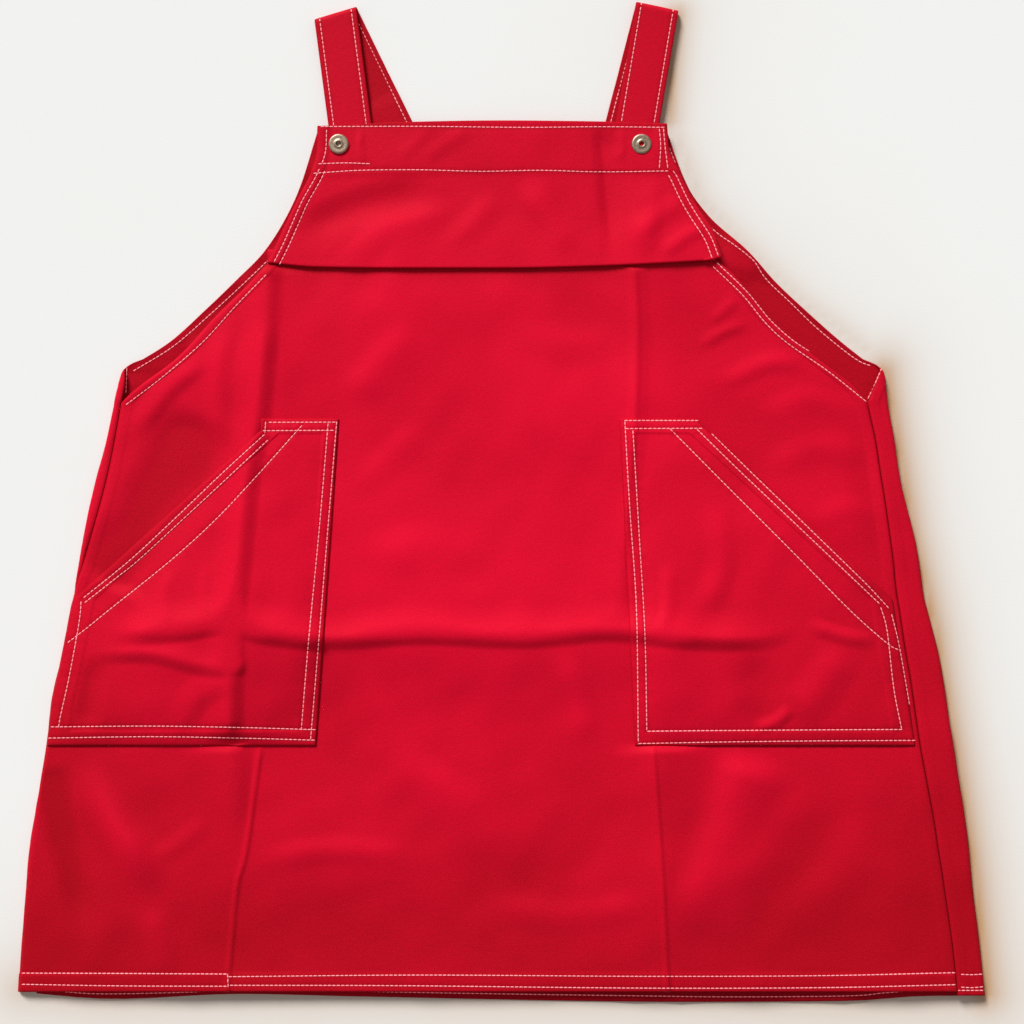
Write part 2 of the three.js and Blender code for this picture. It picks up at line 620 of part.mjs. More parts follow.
/** One strap: a flat band that comes up from behind the bib's band and folds over to the back. */
class Strap {
  constructor(spec) {
    Object.assign(this, spec);
    this.footX = (this.foot * BIB_TOP_WIDTH) / 2;
    const lean = THREE.MathUtils.degToRad(this.lean);
    const fold = THREE.MathUtils.degToRad(this.fold);
    this.along = new THREE.Vector2(Math.sin(lean), Math.cos(lean));
    this.sideways = new THREE.Vector2(-this.along.y, this.along.x);
    this.foldLine = new THREE.Vector2(Math.cos(fold), Math.sin(fold));
    this.beyond = new THREE.Vector2(-this.foldLine.y, this.foldLine.x);
    this.origin = new THREE.Vector2(this.footX, 0)
      .addScaledVector(this.along, (this.rise * STRAP_RISE) / this.along.y)
      .addScaledVector(this.beyond, -STRAP_FOLD_RADIUS - STRAP_THICKNESS / 2);
    this.topZ = STRAP_THICKNESS / 2 + 2 * STRAP_FOLD_RADIUS;
    this.foldLength = (Math.PI * STRAP_FOLD_RADIUS) / this.along.dot(this.beyond);
  }

  /** The strap's centre line on its front layer at a height. */
  centre(y) {
    return this.footX + (y * this.along.x) / this.along.y;
  }

  /** Where the button's pin goes through the strap. */
  buttonPlace() {
    const y = -BUTTON_DROP;
    return new THREE.Vector2(this.centre(y) + (this.button * STRAP_WIDTH) / 2, y);
  }

  /** Length of strap past the fold's start at which the centre line of its back layer is this high. */
  backLength(y) {
    const slope = 2 * this.along.dot(this.foldLine) * this.foldLine.y - this.along.y;
    return this.foldLength + (y - this.origin.y) / slope;
  }

  /** Middle of the strap and its outward direction, at a length past the fold's start. */
  at({ length, skew = 0, lift = 0 }, across) {
    const slip = (this.sideways.dot(this.beyond) / this.along.dot(this.beyond)) * across * skew;
    const flat = this.along.clone().multiplyScalar(length - slip).addScaledVector(this.sideways, across);
    const past = flat.dot(this.beyond);
    const half = Math.PI * STRAP_FOLD_RADIUS;
    const angle = Math.min(Math.PI, Math.max(0, past / STRAP_FOLD_RADIUS));
    let reach = STRAP_FOLD_RADIUS * Math.sin(angle);
    if (past < 0) reach = past;
    if (past > half) reach = half - past;
    const place = this.origin
      .clone()
      .addScaledVector(this.foldLine, flat.dot(this.foldLine))
      .addScaledVector(this.beyond, reach);
    const out = this.beyond.clone().multiplyScalar(Math.sin(angle));
    const z = this.topZ - STRAP_FOLD_RADIUS * (1 - Math.cos(angle)) + lift;
    return { middle: [place.x, place.y, z], out: [out.x, out.y, Math.cos(angle)] };
  }

  /** The strap's cross lines: square at its ends, and along the fold where it turns over. */
  rows() {
    const sink = STRAP_FRONT - this.topZ;
    const front = (y) => (y - this.origin.y) / this.along.y;
    const settled = front(STRAP_WIDTH / 8);
    const seatY = STRAP_WIDTH / 2 - BACK_SETBACK;
    const climb = CLOTH + GAP;
    const foldRows = Array.from({ length: STRAP_FOLD_FACETS + 1 }, (_, n) => n / STRAP_FOLD_FACETS);
    return [
      { length: front(-STRAP_END), lift: sink },
      { length: front(-BUTTON_DROP), lift: sink },
      ...STRAP_FRONT_ROWS.map(({ place, skew }) => ({ length: place * settled, lift: place * sink, skew })),
      ...foldRows.map((share) => ({ length: share * this.foldLength, skew: 1 })),
      ...STRAP_BACK_ROWS.map(({ place, skew }) => ({ length: this.backLength(place * this.origin.y), skew })),
      { length: this.backLength(seatY + STRAP_CLIMB) },
      { length: this.backLength(seatY), lift: climb },
      { length: this.backLength(-STRAP_END), lift: climb },
    ];
  }

  /** The strap's closed sheet, with the hole for the tack's pin. */
  geometry() {
    const grid = this.rows().map((row) =>
      [-1 / 2, -1 / 6, 1 / 6, 1 / 2].map((share) => {
        const { middle, out } = this.at(row, share * STRAP_WIDTH);
        const face = (distance) => middle.map((value, k) => value + distance * out[k]);
        return { outer: face(STRAP_THICKNESS / 2), inner: face(-STRAP_THICKNESS / 2) };
      }),
    );
    return cut(sheetGeometry(grid), [pinHole(this.buttonPlace())]);
  }
}

/** A closed three.js geometry as a solid that can be cut. */
function solid(geometry) {
  const plain = geometry.clone();
  plain.deleteAttribute("normal");
  plain.deleteAttribute("uv");
  const merged = mergeVertices(plain);
  return new wasm.Manifold(
    new wasm.Mesh({
      numProp: 3,
      vertProperties: new Float32Array(merged.getAttribute("position").array),
      triVerts: new Uint32Array(merged.getIndex().array),
    }),
  );
}

/** The geometry with the tools taken away. */
function cut(geometry, tools) {
  const mesh = tools.reduce((body, tool) => body.subtract(solid(tool)), solid(geometry)).getMesh();
  const result = new THREE.BufferGeometry();
  result.setAttribute("position", new THREE.Float32BufferAttribute(mesh.vertProperties, 3));
  result.setIndex([...mesh.triVerts]);
  return result;
}

/** The tool for a tack pin's hole, through whatever lies there. */
function pinHole(place) {
  const length = 4 * BAND_HEIGHT;
  const tool = new THREE.CylinderGeometry(PIN_RADIUS + GAP, PIN_RADIUS + GAP, length, 12);
  return tool.rotateX(Math.PI / 2).translate(place.x, place.y, 0);
}

/** A turned solid that stands on the surface's normal, from a profile of radii and heights. */
function turnedGeometry(profile, sides, place) {
  const points = profile.map(([radius, height]) => new THREE.Vector2(radius, height));
  return new THREE.LatheGeometry(points, sides).rotateX(Math.PI / 2).translate(place.x, place.y, 0);
}

/** A tack button's cap: a rim, a hollow round a raised ring, a dimple, and the pin's socket below. */
function buttonGeometry(place) {
  const base = BAND_HEIGHT + GAP;
  const socket = PIN_RADIUS + GAP;
  const [r, h] = [BUTTON_RADIUS, BUTTON_HEIGHT];
  const profile = [
    [0, 0.4 * h],
    [socket, 0.4 * h],
    [socket, 0],
    [0.93 * r, 0],
    [r, 0.2 * h],
    [r, 0.42 * h],
    [0.93 * r, 0.67 * h],
    [0.82 * r, 0.76 * h],
    [0.7 * r, 0.62 * h],
    [0.58 * r, 0.56 * h],
    [0.5 * r, 0.7 * h],
    [0.42 * r, 0.95 * h],
    [0.32 * r, h],
    [0.23 * r, 0.93 * h],
    [0.19 * r, 0.75 * h],
    [0, 0.72 * h],
  ];
  return turnedGeometry(
    profile.map(([radius, height]) => [radius, base + height]),
    16,
    place,
  );
}

/** The tack behind a strap: a flat head, and a pin that ends in the button's socket. */
function tackGeometry(place) {
  const pinTop = BAND_HEIGHT + 0.4 * BUTTON_HEIGHT;
  const profile = [
    [0, TACK_TOP - TACK_THICKNESS],
    [TACK_RADIUS, TACK_TOP - TACK_THICKNESS],
    [TACK_RADIUS, TACK_TOP],
    [PIN_RADIUS, TACK_TOP],
    [PIN_RADIUS, pinTop],
    [0, pinTop],
  ];
  return turnedGeometry(profile, 12, place);
}

const redNylon = new THREE.MeshStandardMaterial({ color: "#d20f2b", roughness: 0.55, metalness: 0 });
const strapNylon = redNylon.clone();
const buttonBrass = new THREE.MeshStandardMaterial({ color: "#8d7a5c", roughness: 0.38, metalness: 1 });
const tackSteel = new THREE.MeshStandardMaterial({ color: "#a9a59c", roughness: 0.45, metalness: 1 });

/** A mesh under its piece's name. */
function piece(name, geometry, material) {
  const mesh = new THREE.Mesh(geometry, material);
  mesh.name = name;
  return mesh;
}

const apron = new THREE.Group();
const straps = STRAPS.map((spec) => new Strap(spec));
const pinHoles = straps.map((strap) => pinHole(strap.buttonPlace()));
apron.add(piece("front_panel", cut(frontPanelGeometry(), pinHoles), redNylon));
apron.add(piece("back_panel", backPanelGeometry(), redNylon));
for (const spec of POCKETS) {
  apron.add(piece(`pocket_${spec.side}`, new Pocket(spec).geometry(), redNylon));
}
for (const strap of straps) {
  const place = strap.buttonPlace();
  apron.add(piece(`strap_${strap.side}`, strap.geometry(), strapNylon));
  apron.add(piece(`button_${strap.side}`, buttonGeometry(place), buttonBrass));
  apron.add(piece(`tack_${strap.side}`, tackGeometry(place), tackSteel));
}

// The origin is the middle of the apron's box, on the surface that it lies on
const middle = new THREE.Box3().setFromObject(apron).getCenter(new THREE.Vector3());
apron.position.set(-middle.x, -middle.y, 0);

export default apron;
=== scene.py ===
"""A pinafore apron of red nylon, laid out flat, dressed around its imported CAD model.

Sizes and places are in millimetres in the apron's own lay: x runs to the right from the skirt's centre
line, y up from the bib's top edge, z off the floor. Meshes are made in metres, in the model's frame.
"""

import json
import logging
import math
from dataclasses import dataclass, field
from enum import Enum
from typing import NamedTuple, Sequence

import bmesh
import bpy
import numpy as np
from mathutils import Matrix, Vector
from mathutils.bvhtree import BVHTree

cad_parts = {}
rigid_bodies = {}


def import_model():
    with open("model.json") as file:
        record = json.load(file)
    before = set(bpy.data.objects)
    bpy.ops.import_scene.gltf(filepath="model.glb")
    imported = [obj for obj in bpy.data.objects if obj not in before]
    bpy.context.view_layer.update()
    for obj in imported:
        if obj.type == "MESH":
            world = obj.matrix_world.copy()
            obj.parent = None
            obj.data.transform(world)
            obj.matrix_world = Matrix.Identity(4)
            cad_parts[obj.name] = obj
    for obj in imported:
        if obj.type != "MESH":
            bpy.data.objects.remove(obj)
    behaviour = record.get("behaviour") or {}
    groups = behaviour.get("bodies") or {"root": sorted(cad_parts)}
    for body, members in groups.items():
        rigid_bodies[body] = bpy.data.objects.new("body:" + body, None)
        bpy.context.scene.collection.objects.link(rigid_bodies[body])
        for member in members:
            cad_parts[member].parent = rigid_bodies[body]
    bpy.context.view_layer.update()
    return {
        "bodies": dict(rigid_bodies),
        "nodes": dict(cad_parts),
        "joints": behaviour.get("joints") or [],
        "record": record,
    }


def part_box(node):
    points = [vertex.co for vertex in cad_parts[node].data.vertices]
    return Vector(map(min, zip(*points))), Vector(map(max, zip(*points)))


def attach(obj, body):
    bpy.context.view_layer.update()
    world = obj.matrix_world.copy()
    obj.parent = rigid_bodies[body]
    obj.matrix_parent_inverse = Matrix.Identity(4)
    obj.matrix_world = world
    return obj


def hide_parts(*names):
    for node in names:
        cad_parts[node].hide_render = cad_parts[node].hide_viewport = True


LOG = logging.getLogger("apron")
MM = 0.001
Array = np.ndarray
Points = Sequence[tuple[float, float]]

# How the photograph's pixels lie on the apron
PHOTO_SCALE = 0.85
PHOTO_MIDDLE_X = 501.5
PHOTO_TOP_Y = 125.0

# The camera: how high it hangs, and where its axis meets the floor in the lay
CAMERA_HEIGHT = 1210.0
AXIS_X, AXIS_Y = 8.9, -328.8


# Sizes and tables of the laid apron


@dataclass(frozen=True)
class Cut:
    """Sizes of the apron, the same as its solids have, in millimetres."""

    cloth: float = 0.8
    bib_length: float = 117.0
    armhole_length: float = 119.0
    skirt_length: float = 501.0
    band_depth: float = 38.0
    hem_depth: float = 14.0
    back_setback: float = 5.0
    back_corner_rise: float = 34.0
    back_hem_drop: float = 8.5
    bib_top_width: float = 297.0
    bib_foot_width: float = 386.0
    underarm_width: float = 657.0
    hem_width: float = 822.0
    bib_lean: float = 8.0
    left_wrap: float = 17.0
    right_wrap: float = 30.0
    side_height: float = 6.5
    loft: float = 2.5
    loft_run: float = 90.0
    band_height: float = 9.0
    tuck_radius: float = 0.9
    tuck_depth: float = 9.0
    seam_gap: float = 0.5
    clear_height: float = 4.7
    proud_height: float = 7.0
    proud_give: float = 2.8

    @property
    def tuck_y(self) -> float:
        """Height of the tuck's edge."""
        return -self.bib_length

    @property
    def underarm_y(self) -> float:
        """Height where the side seams start."""
        return self.tuck_y - self.armhole_length

    @property
    def hem_y(self) -> float:
        """Height of the front hem."""
        return self.underarm_y - self.skirt_length

    @property
    def tuck_step(self) -> float:
        """How much higher the bib lies than the cloth below the tuck."""
        return 4 * self.tuck_radius

    @property
    def fold_radius(self) -> float:
        """Radius of the side folds."""
        return self.side_height / 2

    @property
    def quarter(self) -> float:
        """Cloth in a quarter turn of a side fold."""
        return math.pi / 2 * self.fold_radius


CUT = Cut()

FULLNESS = 1.65  # how much fuller all the folds lie than their table says


class SkirtRow(NamedTuple):
    """Half widths from 0, the underarm's, to 1, the hem's, and the seams' share of their wraps."""

    name: str
    down: float
    left: float
    right: float
    seam_left: float
    seam_right: float


SKIRT_ROWS = (
    SkirtRow("armhole corner", -0.068, -0.144, -0.124, 0, 0),
    SkirtRow("corner turn", -0.051, -0.082, -0.046, 0.1, 0.3),
    SkirtRow("below the corner", -0.029, -0.046, -0.02, 0.3, 0.5),
    SkirtRow("underarm", 0, 0, 0, 0.4, 0.63),
    SkirtRow("upper side", 0.066, 0.093, 0.07, 0.51, 0.59),
    SkirtRow("pocket start", 0.132, 0.206, 0.124, 0.65, 0.57),
    SkirtRow("waist", 0.248, 0.35, 0.304, 0.41, 0.78),
    SkirtRow("seam nears the fold", 0.28, 0.383, 0.335, 0.27, 0.8),
    SkirtRow("seam at the fold", 0.305, 0.41, 0.355, 0.1, 0.82),
    SkirtRow("mouth end", 0.331, 0.437, 0.38, -0.06, 0.83),
    SkirtRow("seam below the fold", 0.35, 0.46, 0.41, -0.16, 0.86),
    SkirtRow("hip", 0.44, 0.567, 0.546, -0.45, 1),
    SkirtRow("below the hip", 0.506, 0.66, 0.61, -0.6, 1),
    SkirtRow("pocket foot", 0.577, 0.71, 0.665, -0.75, 0.98),
    SkirtRow("lower skirt", 0.642, 0.773, 0.73, -0.8, 0.96),
    SkirtRow("three quarters", 0.74, 0.856, 0.83, -0.87, 0.95),
    SkirtRow("soft fold", 0.805, 0.897, 0.866, -0.92, 0.88),
    SkirtRow("above the hem", 0.9185, 0.969, 0.95, -0.98, 0.84),
    SkirtRow("hem", 1, 1, 1, -1, 0.83),
)


class BibRow(NamedTuple):
    """Half widths of the bib from 0, the top's, to 1, the foot's, and its lean's share."""

    name: str
    down: float
    left: float
    right: float
    lean: float


BIB_ROWS = (
    BibRow("top edge", 0, 0, 0, 1),
    BibRow("beside the buttons", 0.185, 0.02, 0.05, 1),
    BibRow("band foot", 0.345, 0.14, 0.24, 1),
    BibRow("upper slant", 0.52, 0.39, 0.44, 0.91),
    BibRow("middle", 0.64, 0.55, 0.62, 0.86),
    BibRow("lower slant", 0.82, 0.78, 0.89, 0.79),
    BibRow("tuck", 1, 1, 1.02, 0.74),
)


class SideRow(NamedTuple):
    """A left and a right share at a height."""

    name: str
    down: float
    left: float
    right: float


# The front's armhole edges from 0, the bib's foot, to 1, the seam at the underarm
ARMHOLE_ROWS = (
    SideRow("under the tuck", 0, 0, -0.05),
    SideRow("armhole start", 0.1, 0.08, 0.07),
    SideRow("upper curve", 0.386, 0.357, 0.31),
    SideRow("lower curve", 0.68, 0.62, 0.65),
    SideRow("armhole end", 0.92, 0.92, 0.94),
    SideRow("underarm", 1, 1, 1),
)

# The back's edges from 0, its top corner, to 1, where its armhole reaches the side fold
BACK_ROWS = (
    SideRow("top edge", 0, 0, 0),
    SideRow("side of the bib", 0.25, 0.1, 0.11),
    SideRow("armhole start", 0.37, 0.17, 0.21),
    SideRow("upper curve", 0.52, 0.29, 0.4),
    SideRow("middle of the armhole", 0.65, 0.45, 0.53),
    SideRow("lower curve", 0.78, 0.62, 0.685),
    SideRow("flat stretch", 0.909, 0.8, 0.85),
    SideRow("corner", 1, 0.98, 0.98),
)

# The back's armhole over the side fold: -1 flat on the floor, 0 at the fold, 1 at the underarm seam
TURN_ROWS = (
    SideRow("corner", 0, -1, -1),
    SideRow("round the fold", 0.12, 0, 0),
    SideRow("on top", 0.3, 0.6, 0.35),
    SideRow("towards the seam", 0.6, 0.9, 0.65),
    SideRow("underarm", 1, 1, 1),
)


class HemRow(NamedTuple):
    """How far the back hem hangs below the front hem, as a share of its most."""

    name: str
    across: float
    drop: float


HEM_ROWS = (
    HemRow("left fold", 0, 0),
    HemRow("left wave", 0.1, 0.7),
    HemRow("left crease", 0.23, 0.2),
    HemRow("middle", 0.35, 0.45),
    HemRow("right wave", 0.7, 1),
    HemRow("wave end", 0.86, 0.9),
    HemRow("right fold", 0.94, 0.4),
    HemRow("right edge", 1, 0.37),
)


# Folds and wrinkles


class FoldKind(Enum):
    """How a fold's ridge is shaped."""

    PRESSED = "pressed"
    SOFT = "soft"


class Place(Enum):
    """The pieces of cloth that a fold runs over."""

    BAND = "band"
    BIB = "bib"
    SKIRT = "skirt"
    POCKET = "pocket"


@dataclass(frozen=True)
class Fold:
    """One fold of the cloth.

    Its line is in the photograph's pixels. `height` is its ridge's, or a valley's below 0, and `lit` and
    `shade` are its reach towards and away from the light, in millimetres. `ends` are the shares of its
    length over which it fades in and out.
    """

    name: str
    place: Place
    line: Points
    height: float
    lit: float
    shade: float
    kind: FoldKind = FoldKind.SOFT
    ends: tuple[float, float] = (0.3, 0.3)


CROSS_LINE = ((100, 633), (170, 630), (228, 622), (264, 632), (330, 638), (420, 632), (520, 636),
    (610, 629), (690, 637),
              (770, 636), (802, 615))
LEFT_LINE = ((267, 262), (263, 340), (255, 420), (245, 480), (237, 560), (230, 632), (229, 745))
LEFT_FOOT_LINE = ((229, 745), (233, 780), (232, 820), (229, 860))
RIGHT_LINE = ((634, 262), (637, 332), (635, 412), (629, 480), (623, 560), (620, 628))

FOLDS = (
    Fold("cross crease", Place.SKIRT, CROSS_LINE, 3.2, 100, 80, FoldKind.PRESSED, (0.12, 0.2)),
    Fold("cross crease edge", Place.SKIRT, CROSS_LINE, 2.5, 24, 13, FoldKind.PRESSED, (0.07, 0.12)),
    Fold("left crease", Place.SKIRT, LEFT_LINE, 1.5, 60, 46, FoldKind.PRESSED, (0.02, 0.03)),
    Fold("left crease edge", Place.SKIRT, LEFT_LINE, 2.6, 21, 15, FoldKind.PRESSED, (0.02, 0.05)),
    Fold("left crease foot", Place.SKIRT, LEFT_FOOT_LINE, 2.6, 50, 20, FoldKind.PRESSED, (0.02, 0.7)),
    Fold("left press line", Place.SKIRT, ((260, 748), (246, 850), (237, 884), (231, 945), (227, 991)),
         0.9, 3.4, 3.4, FoldKind.PRESSED, (0.02, 0)),
    Fold("right crease", Place.SKIRT, RIGHT_LINE, 1.1, 30, 14, FoldKind.PRESSED, (0.02, 0.05)),
    Fold("right crease edge", Place.SKIRT, RIGHT_LINE, 0.6, 7, 5, FoldKind.PRESSED, (0.02, 0.1)),
    Fold("right press line", Place.SKIRT, ((653, 748), (662, 876), (667, 972), (668, 991)),
         1.0, 3.6, 3.4, FoldKind.PRESSED, (0.02, 0)),
    Fold("right crease foot", Place.SKIRT, ((655, 746), (663, 876), (668, 970)), 4.2, 45, 54,
         FoldKind.PRESSED, (0.02, 0.5)),
    Fold("right foot diagonal", Place.SKIRT, ((750, 748), (716, 862), (684, 945)), 4.0, 30, 56,
        ends=(0.15, 0.3)),
    Fold("right foot outer", Place.SKIRT, ((822, 770), (770, 850), (720, 905)), 1.3, 22, 34),
    Fold("right foot short", Place.SKIRT, ((880, 800), (830, 880), (780, 940)), 1.2, 26, 34),
    Fold("left foot diagonal", Place.SKIRT, ((80, 758), (104, 806), (132, 852), (160, 900)), 4.2, 24,
        22, ends=(0.5, 0.4)),
    Fold("left foot valley", Place.SKIRT, ((50, 765), (66, 850), (92, 940)), -2.8, 18, 20, ends=(0.1, 0.3)),
    Fold("left foot low", Place.SKIRT, ((150, 905), (160, 950), (158, 985)), 1.2, 18, 20),
    Fold("left foot small", Place.SKIRT, ((150, 862), (186, 838), (210, 815)), 0.8, 12, 12),
    Fold("middle drag", Place.SKIRT, ((352, 655), (384, 712), (420, 770), (486, 812)), 1.5, 20, 42),
    Fold("middle drag right", Place.SKIRT, ((560, 650), (580, 700), (588, 748)), 1.2, 16, 16),
    Fold("middle sag", Place.SKIRT, ((380, 760), (430, 846), (520, 880), (620, 850)), -1.3, 40, 44),
    Fold("middle low left", Place.SKIRT, ((246, 866), (320, 850), (420, 856)), 1.0, 14, 16),
    Fold("middle low right", Place.SKIRT, ((480, 905), (570, 915), (660, 900)), 0.9, 18, 20),
    Fold("underarm valley", Place.SKIRT, ((206, 412), (166, 492), (106, 590)), -3.4, 40, 44,
        ends=(0.15, 0.1)),
    Fold("left chest", Place.SKIRT, ((230, 312), (217, 380), (224, 450)), 1.0, 15, 14),
    Fold("left chest drag", Place.SKIRT, ((210, 356), (168, 390), (128, 440)), 1.1, 15, 12),
    Fold("left waist", Place.SKIRT, ((204, 470), (160, 520), (126, 566)), 0.8, 12, 12),
    Fold("chest sweep", Place.SKIRT, ((346, 404), (384, 360), (424, 326)), 1.1, 20, 30),
    Fold("chest sweep small", Place.SKIRT, ((350, 500), (392, 452), (430, 420)), 0.6, 14, 20),
    Fold("chest right", Place.SKIRT, ((520, 330), (580, 345), (620, 330)), 0.7, 18, 22),
    Fold("waist sweep", Place.SKIRT, ((352, 566), (420, 548), (500, 556)), 0.8, 26, 26),
    Fold("armhole wrinkle", Place.SKIRT, ((698, 350), (720, 334), (750, 323)), 1.0, 7, 5, FoldKind.PRESSED),
    Fold("armhole wrinkle high", Place.SKIRT, ((710, 324), (724, 312), (740, 298)), 0.8, 6, 5,
         FoldKind.PRESSED),
    Fold("armhole wrinkle low", Place.SKIRT, ((716, 388), (770, 362), (812, 368)), 1.0, 12, 12),
    Fold("side drag high", Place.SKIRT, ((752, 424), (806, 398), (862, 416)), 0.7, 14, 18),
    Fold("side drag", Place.SKIRT, ((760, 470), (820, 446), (872, 464)), 0.7, 16, 18),
    Fold("side drag low", Place.SKIRT, ((806, 528), (848, 506), (880, 522)), 0.6, 13, 16),
    Fold("side valley", Place.SKIRT, ((858, 420), (874, 520), (888, 590)), -1.3, 18, 12),
    Fold("bib fold", Place.BIB, ((600, 124), (602, 150), (605, 180), (607, 204), (614, 264)), -1.7, 9, 26,
         FoldKind.PRESSED, (0.2, 0)),
    Fold("bib fold crest", Place.BIB, ((652, 176), (650, 220), (640, 262)), 1.0, 22, 14),
    Fold("bib right drag", Place.BIB, ((628, 240), (662, 214), (694, 198)), 0.9, 15, 13),
    Fold("bib right low", Place.BIB, ((660, 256), (688, 236), (712, 230)), 0.9, 10, 10),
    Fold("bib left valley", Place.BIB, ((290, 246), (350, 208), (446, 190)), -1.7, 20, 20),
    Fold("bib left crest", Place.BIB, ((330, 262), (392, 226), (470, 206)), 1.0, 16, 24),
    Fold("bib middle", Place.BIB, ((518, 182), (546, 214), (570, 258)), 1.2, 20, 15),
    Fold("bib middle left", Place.BIB, ((436, 250), (472, 222), (500, 190)), 0.9, 14, 18),
    Fold("band left drag", Place.BAND, ((418, 162), (446, 146), (474, 130)), 0.5, 9, 10),
    Fold("band left drag small", Place.BAND, ((396, 160), (414, 146), (430, 134)), 0.3, 8, 8),
    Fold("band by the button", Place.BAND, ((362, 130), (359, 146), (364, 165)), 0.45, 5, 6),
    Fold("band right crest", Place.BAND, ((618, 130), (622, 148), (618, 166)), 0.5, 8, 6),
    Fold("left pocket second crease", Place.POCKET, ((80, 654), (150, 653), (206, 666), (250, 664)),
        1.6, 17, 11,
         FoldKind.PRESSED, (0.3, 0.08)),
    Fold("left pocket upright", Place.POCKET, ((170, 566), (164, 600), (168, 632)), 0.45, 9, 10),
    Fold("left pocket upright right", Place.POCKET, ((208, 560), (204, 596), (208, 626)), 0.4, 9, 9),
    Fold("left pocket foot", Place.POCKET, ((176, 740), (196, 700), (236, 676)), 0.9, 20, 14),
    Fold("left pocket side", Place.POCKET, ((96, 655), (88, 700), (84, 735)), -1.2, 12, 18),
    Fold("right pocket crest", Place.POCKET, ((846, 646), (822, 688), (790, 718)), 1.3, 26, 24),
    Fold("right pocket hollow", Place.POCKET, ((742, 652), (764, 696), (748, 740)), -1.3, 30, 24),
    Fold("right pocket small", Place.POCKET, ((794, 706), (776, 722), (752, 730)), 1.0, 9, 8),
    Fold("right pocket upright", Place.POCKET, ((714, 500), (722, 566), (700, 622)), 1.1, 18, 16),
    Fold("right pocket drag", Place.POCKET, ((806, 622), (838, 634), (880, 642)), 1.1, 9, 10),
    Fold("right pocket left", Place.POCKET, ((664, 560), (668, 600), (660, 640)), 0.8, 9, 12),
)


# Small tools for numbers and lines


def between(start: Array | float, end: Array | float, share: Array | float) -> Array:
    """The value a share of the way between two others."""
    return start + (end - start) * share


def unit(value: Array | float) -> Array:
    """Keeps values between 0 and 1."""
    return np.clip(value, 0.0, 1.0)


def ease(share: Array | float) -> Array:
    """A rise from 0 to 1 that is level at both ends."""
    kept = unit(share)
    return kept * kept * (3 - 2 * kept)


def swell(share: Array | float) -> Array:
    """A rise from 0 to 1 that starts steep and ends level."""
    return 1 - (1 - unit(share)) ** 2


def bell(distance: Array, width: float) -> Array:
    """A smooth bump that is 1 at no distance."""
    return np.exp(-((distance / width) ** 2))


def from_photo(points: Points) -> Array:
    """Turns points in the photograph's pixels into places on the laid apron.

    Args:
        points: Pairs of pixels across and down.

    Returns:
        An array of x and y in millimetres.
    """
    seen = np.array(points, float)
    return np.stack([seen[:, 0] - PHOTO_MIDDLE_X, PHOTO_TOP_Y - seen[:, 1]], axis=1) * PHOTO_SCALE


class Course:
    """A smooth run through a table's rows, which never overshoots them."""

    def __init__(self, places: Sequence[float], values: Sequence[float]) -> None:
        """Works out the run's slope at each row.

        Args:
            places: Where the rows are, in rising order.
            values: What they hold.
        """
        self.places = np.array(places, float)
        self.values = np.array(values, float)
        self.steps = np.diff(self.places)
        rise = np.diff(self.values) / self.steps
        slopes = np.zeros_like(self.values)
        slopes[0], slopes[-1] = rise[0], rise[-1]
        for k in range(1, len(rise)):
            before, after = rise[k - 1], rise[k]
            if before * after > 0:
                near, far = self.steps[k - 1], self.steps[k]
                slopes[k] = 3 * (near + far) / ((2 * far + near) / before + (far + 2 * near) / after)
        self.slopes = slopes

    def __call__(self, place: Array | float) -> Array:
        """Reads the run at one place or many."""
        kept = np.clip(place, self.places[0], self.places[-1])
        k = np.clip(np.searchsorted(self.places, kept, side="right") - 1, 0, len(self.steps) - 1)
        step = self.steps[k]
        t = (kept - self.places[k]) / step
        start, end = self.values[k], self.values[k + 1]
        lift, fall = self.slopes[k] * step, self.slopes[k + 1] * step
        return (
            start * (1 + 2 * t) * (1 - t) ** 2
            + lift * t * (1 - t) ** 2
            + end * t * t * (3 - 2 * t)
            - fall * t * t * (1 - t)
        )


def course(rows: Sequence[NamedTuple], key: str, column: str) -> Course:
    """The run of one column of a table over another."""
    return Course([getattr(row, key) for row in rows], [getattr(row, column) for row in rows])


def near_line(x: Array, y: Array, line: Array) -> tuple[Array, Array, Array]:
    """Finds the nearest place on a line for many points.

    Args:
        x: Where the points are across.
        y: Where the points are up.
        line: The line's points.

    Returns:
        The distance, below 0 on the side away from the light, the length along the line, and its whole length.
    """
    towards_light = np.array([-0.5, 0.87])
    whole = line[-1] - line[0]
    turn = -1.0 if np.array([-whole[1], whole[0]]) @ towards_light < 0 else 1.0
    best = np.full(np.shape(x), np.inf)
    side, along = np.ones_like(best), np.zeros_like(best)
    done = 0.0
    for start, end in zip(line[:-1], line[1:]):
        run = end - start
        length = float(np.hypot(*run))
        normal = turn * np.array([-run[1], run[0]]) / length
        dx, dy = x - start[0], y - start[1]
        share = unit((dx * run[0] + dy * run[1]) / length**2)
        away = np.hypot(dx - share * run[0], dy - share * run[1])
        closer = away < best
        best = np.where(closer, away, best)
        side = np.where(closer, np.sign(dx * normal[0] + dy * normal[1] + 1e-9), side)
        along = np.where(closer, done + share * length, along)
        done += length
    return best * side, along, done


def inset_line(line: Array, distance: float) -> Array:
    """Moves a line sideways, to its left as it runs, by an even distance."""
    run = np.gradient(line, axis=0)
    run /= np.linalg.norm(run, axis=1)[:, None]
    return line + distance * np.stack([-run[:, 1], run[:, 0]], axis=1)


def ripple(along: Array, seed: float) -> Array:
    """An uneven ripple along a sewn edge, from -1 to 1."""
    waves = ((9.7, 0.4), (14.3, 0.35), (23.0, 0.25))
    return sum(size * np.sin(2 * math.pi * along / length + seed * length) for length, size in waves)


# How the cloth lies


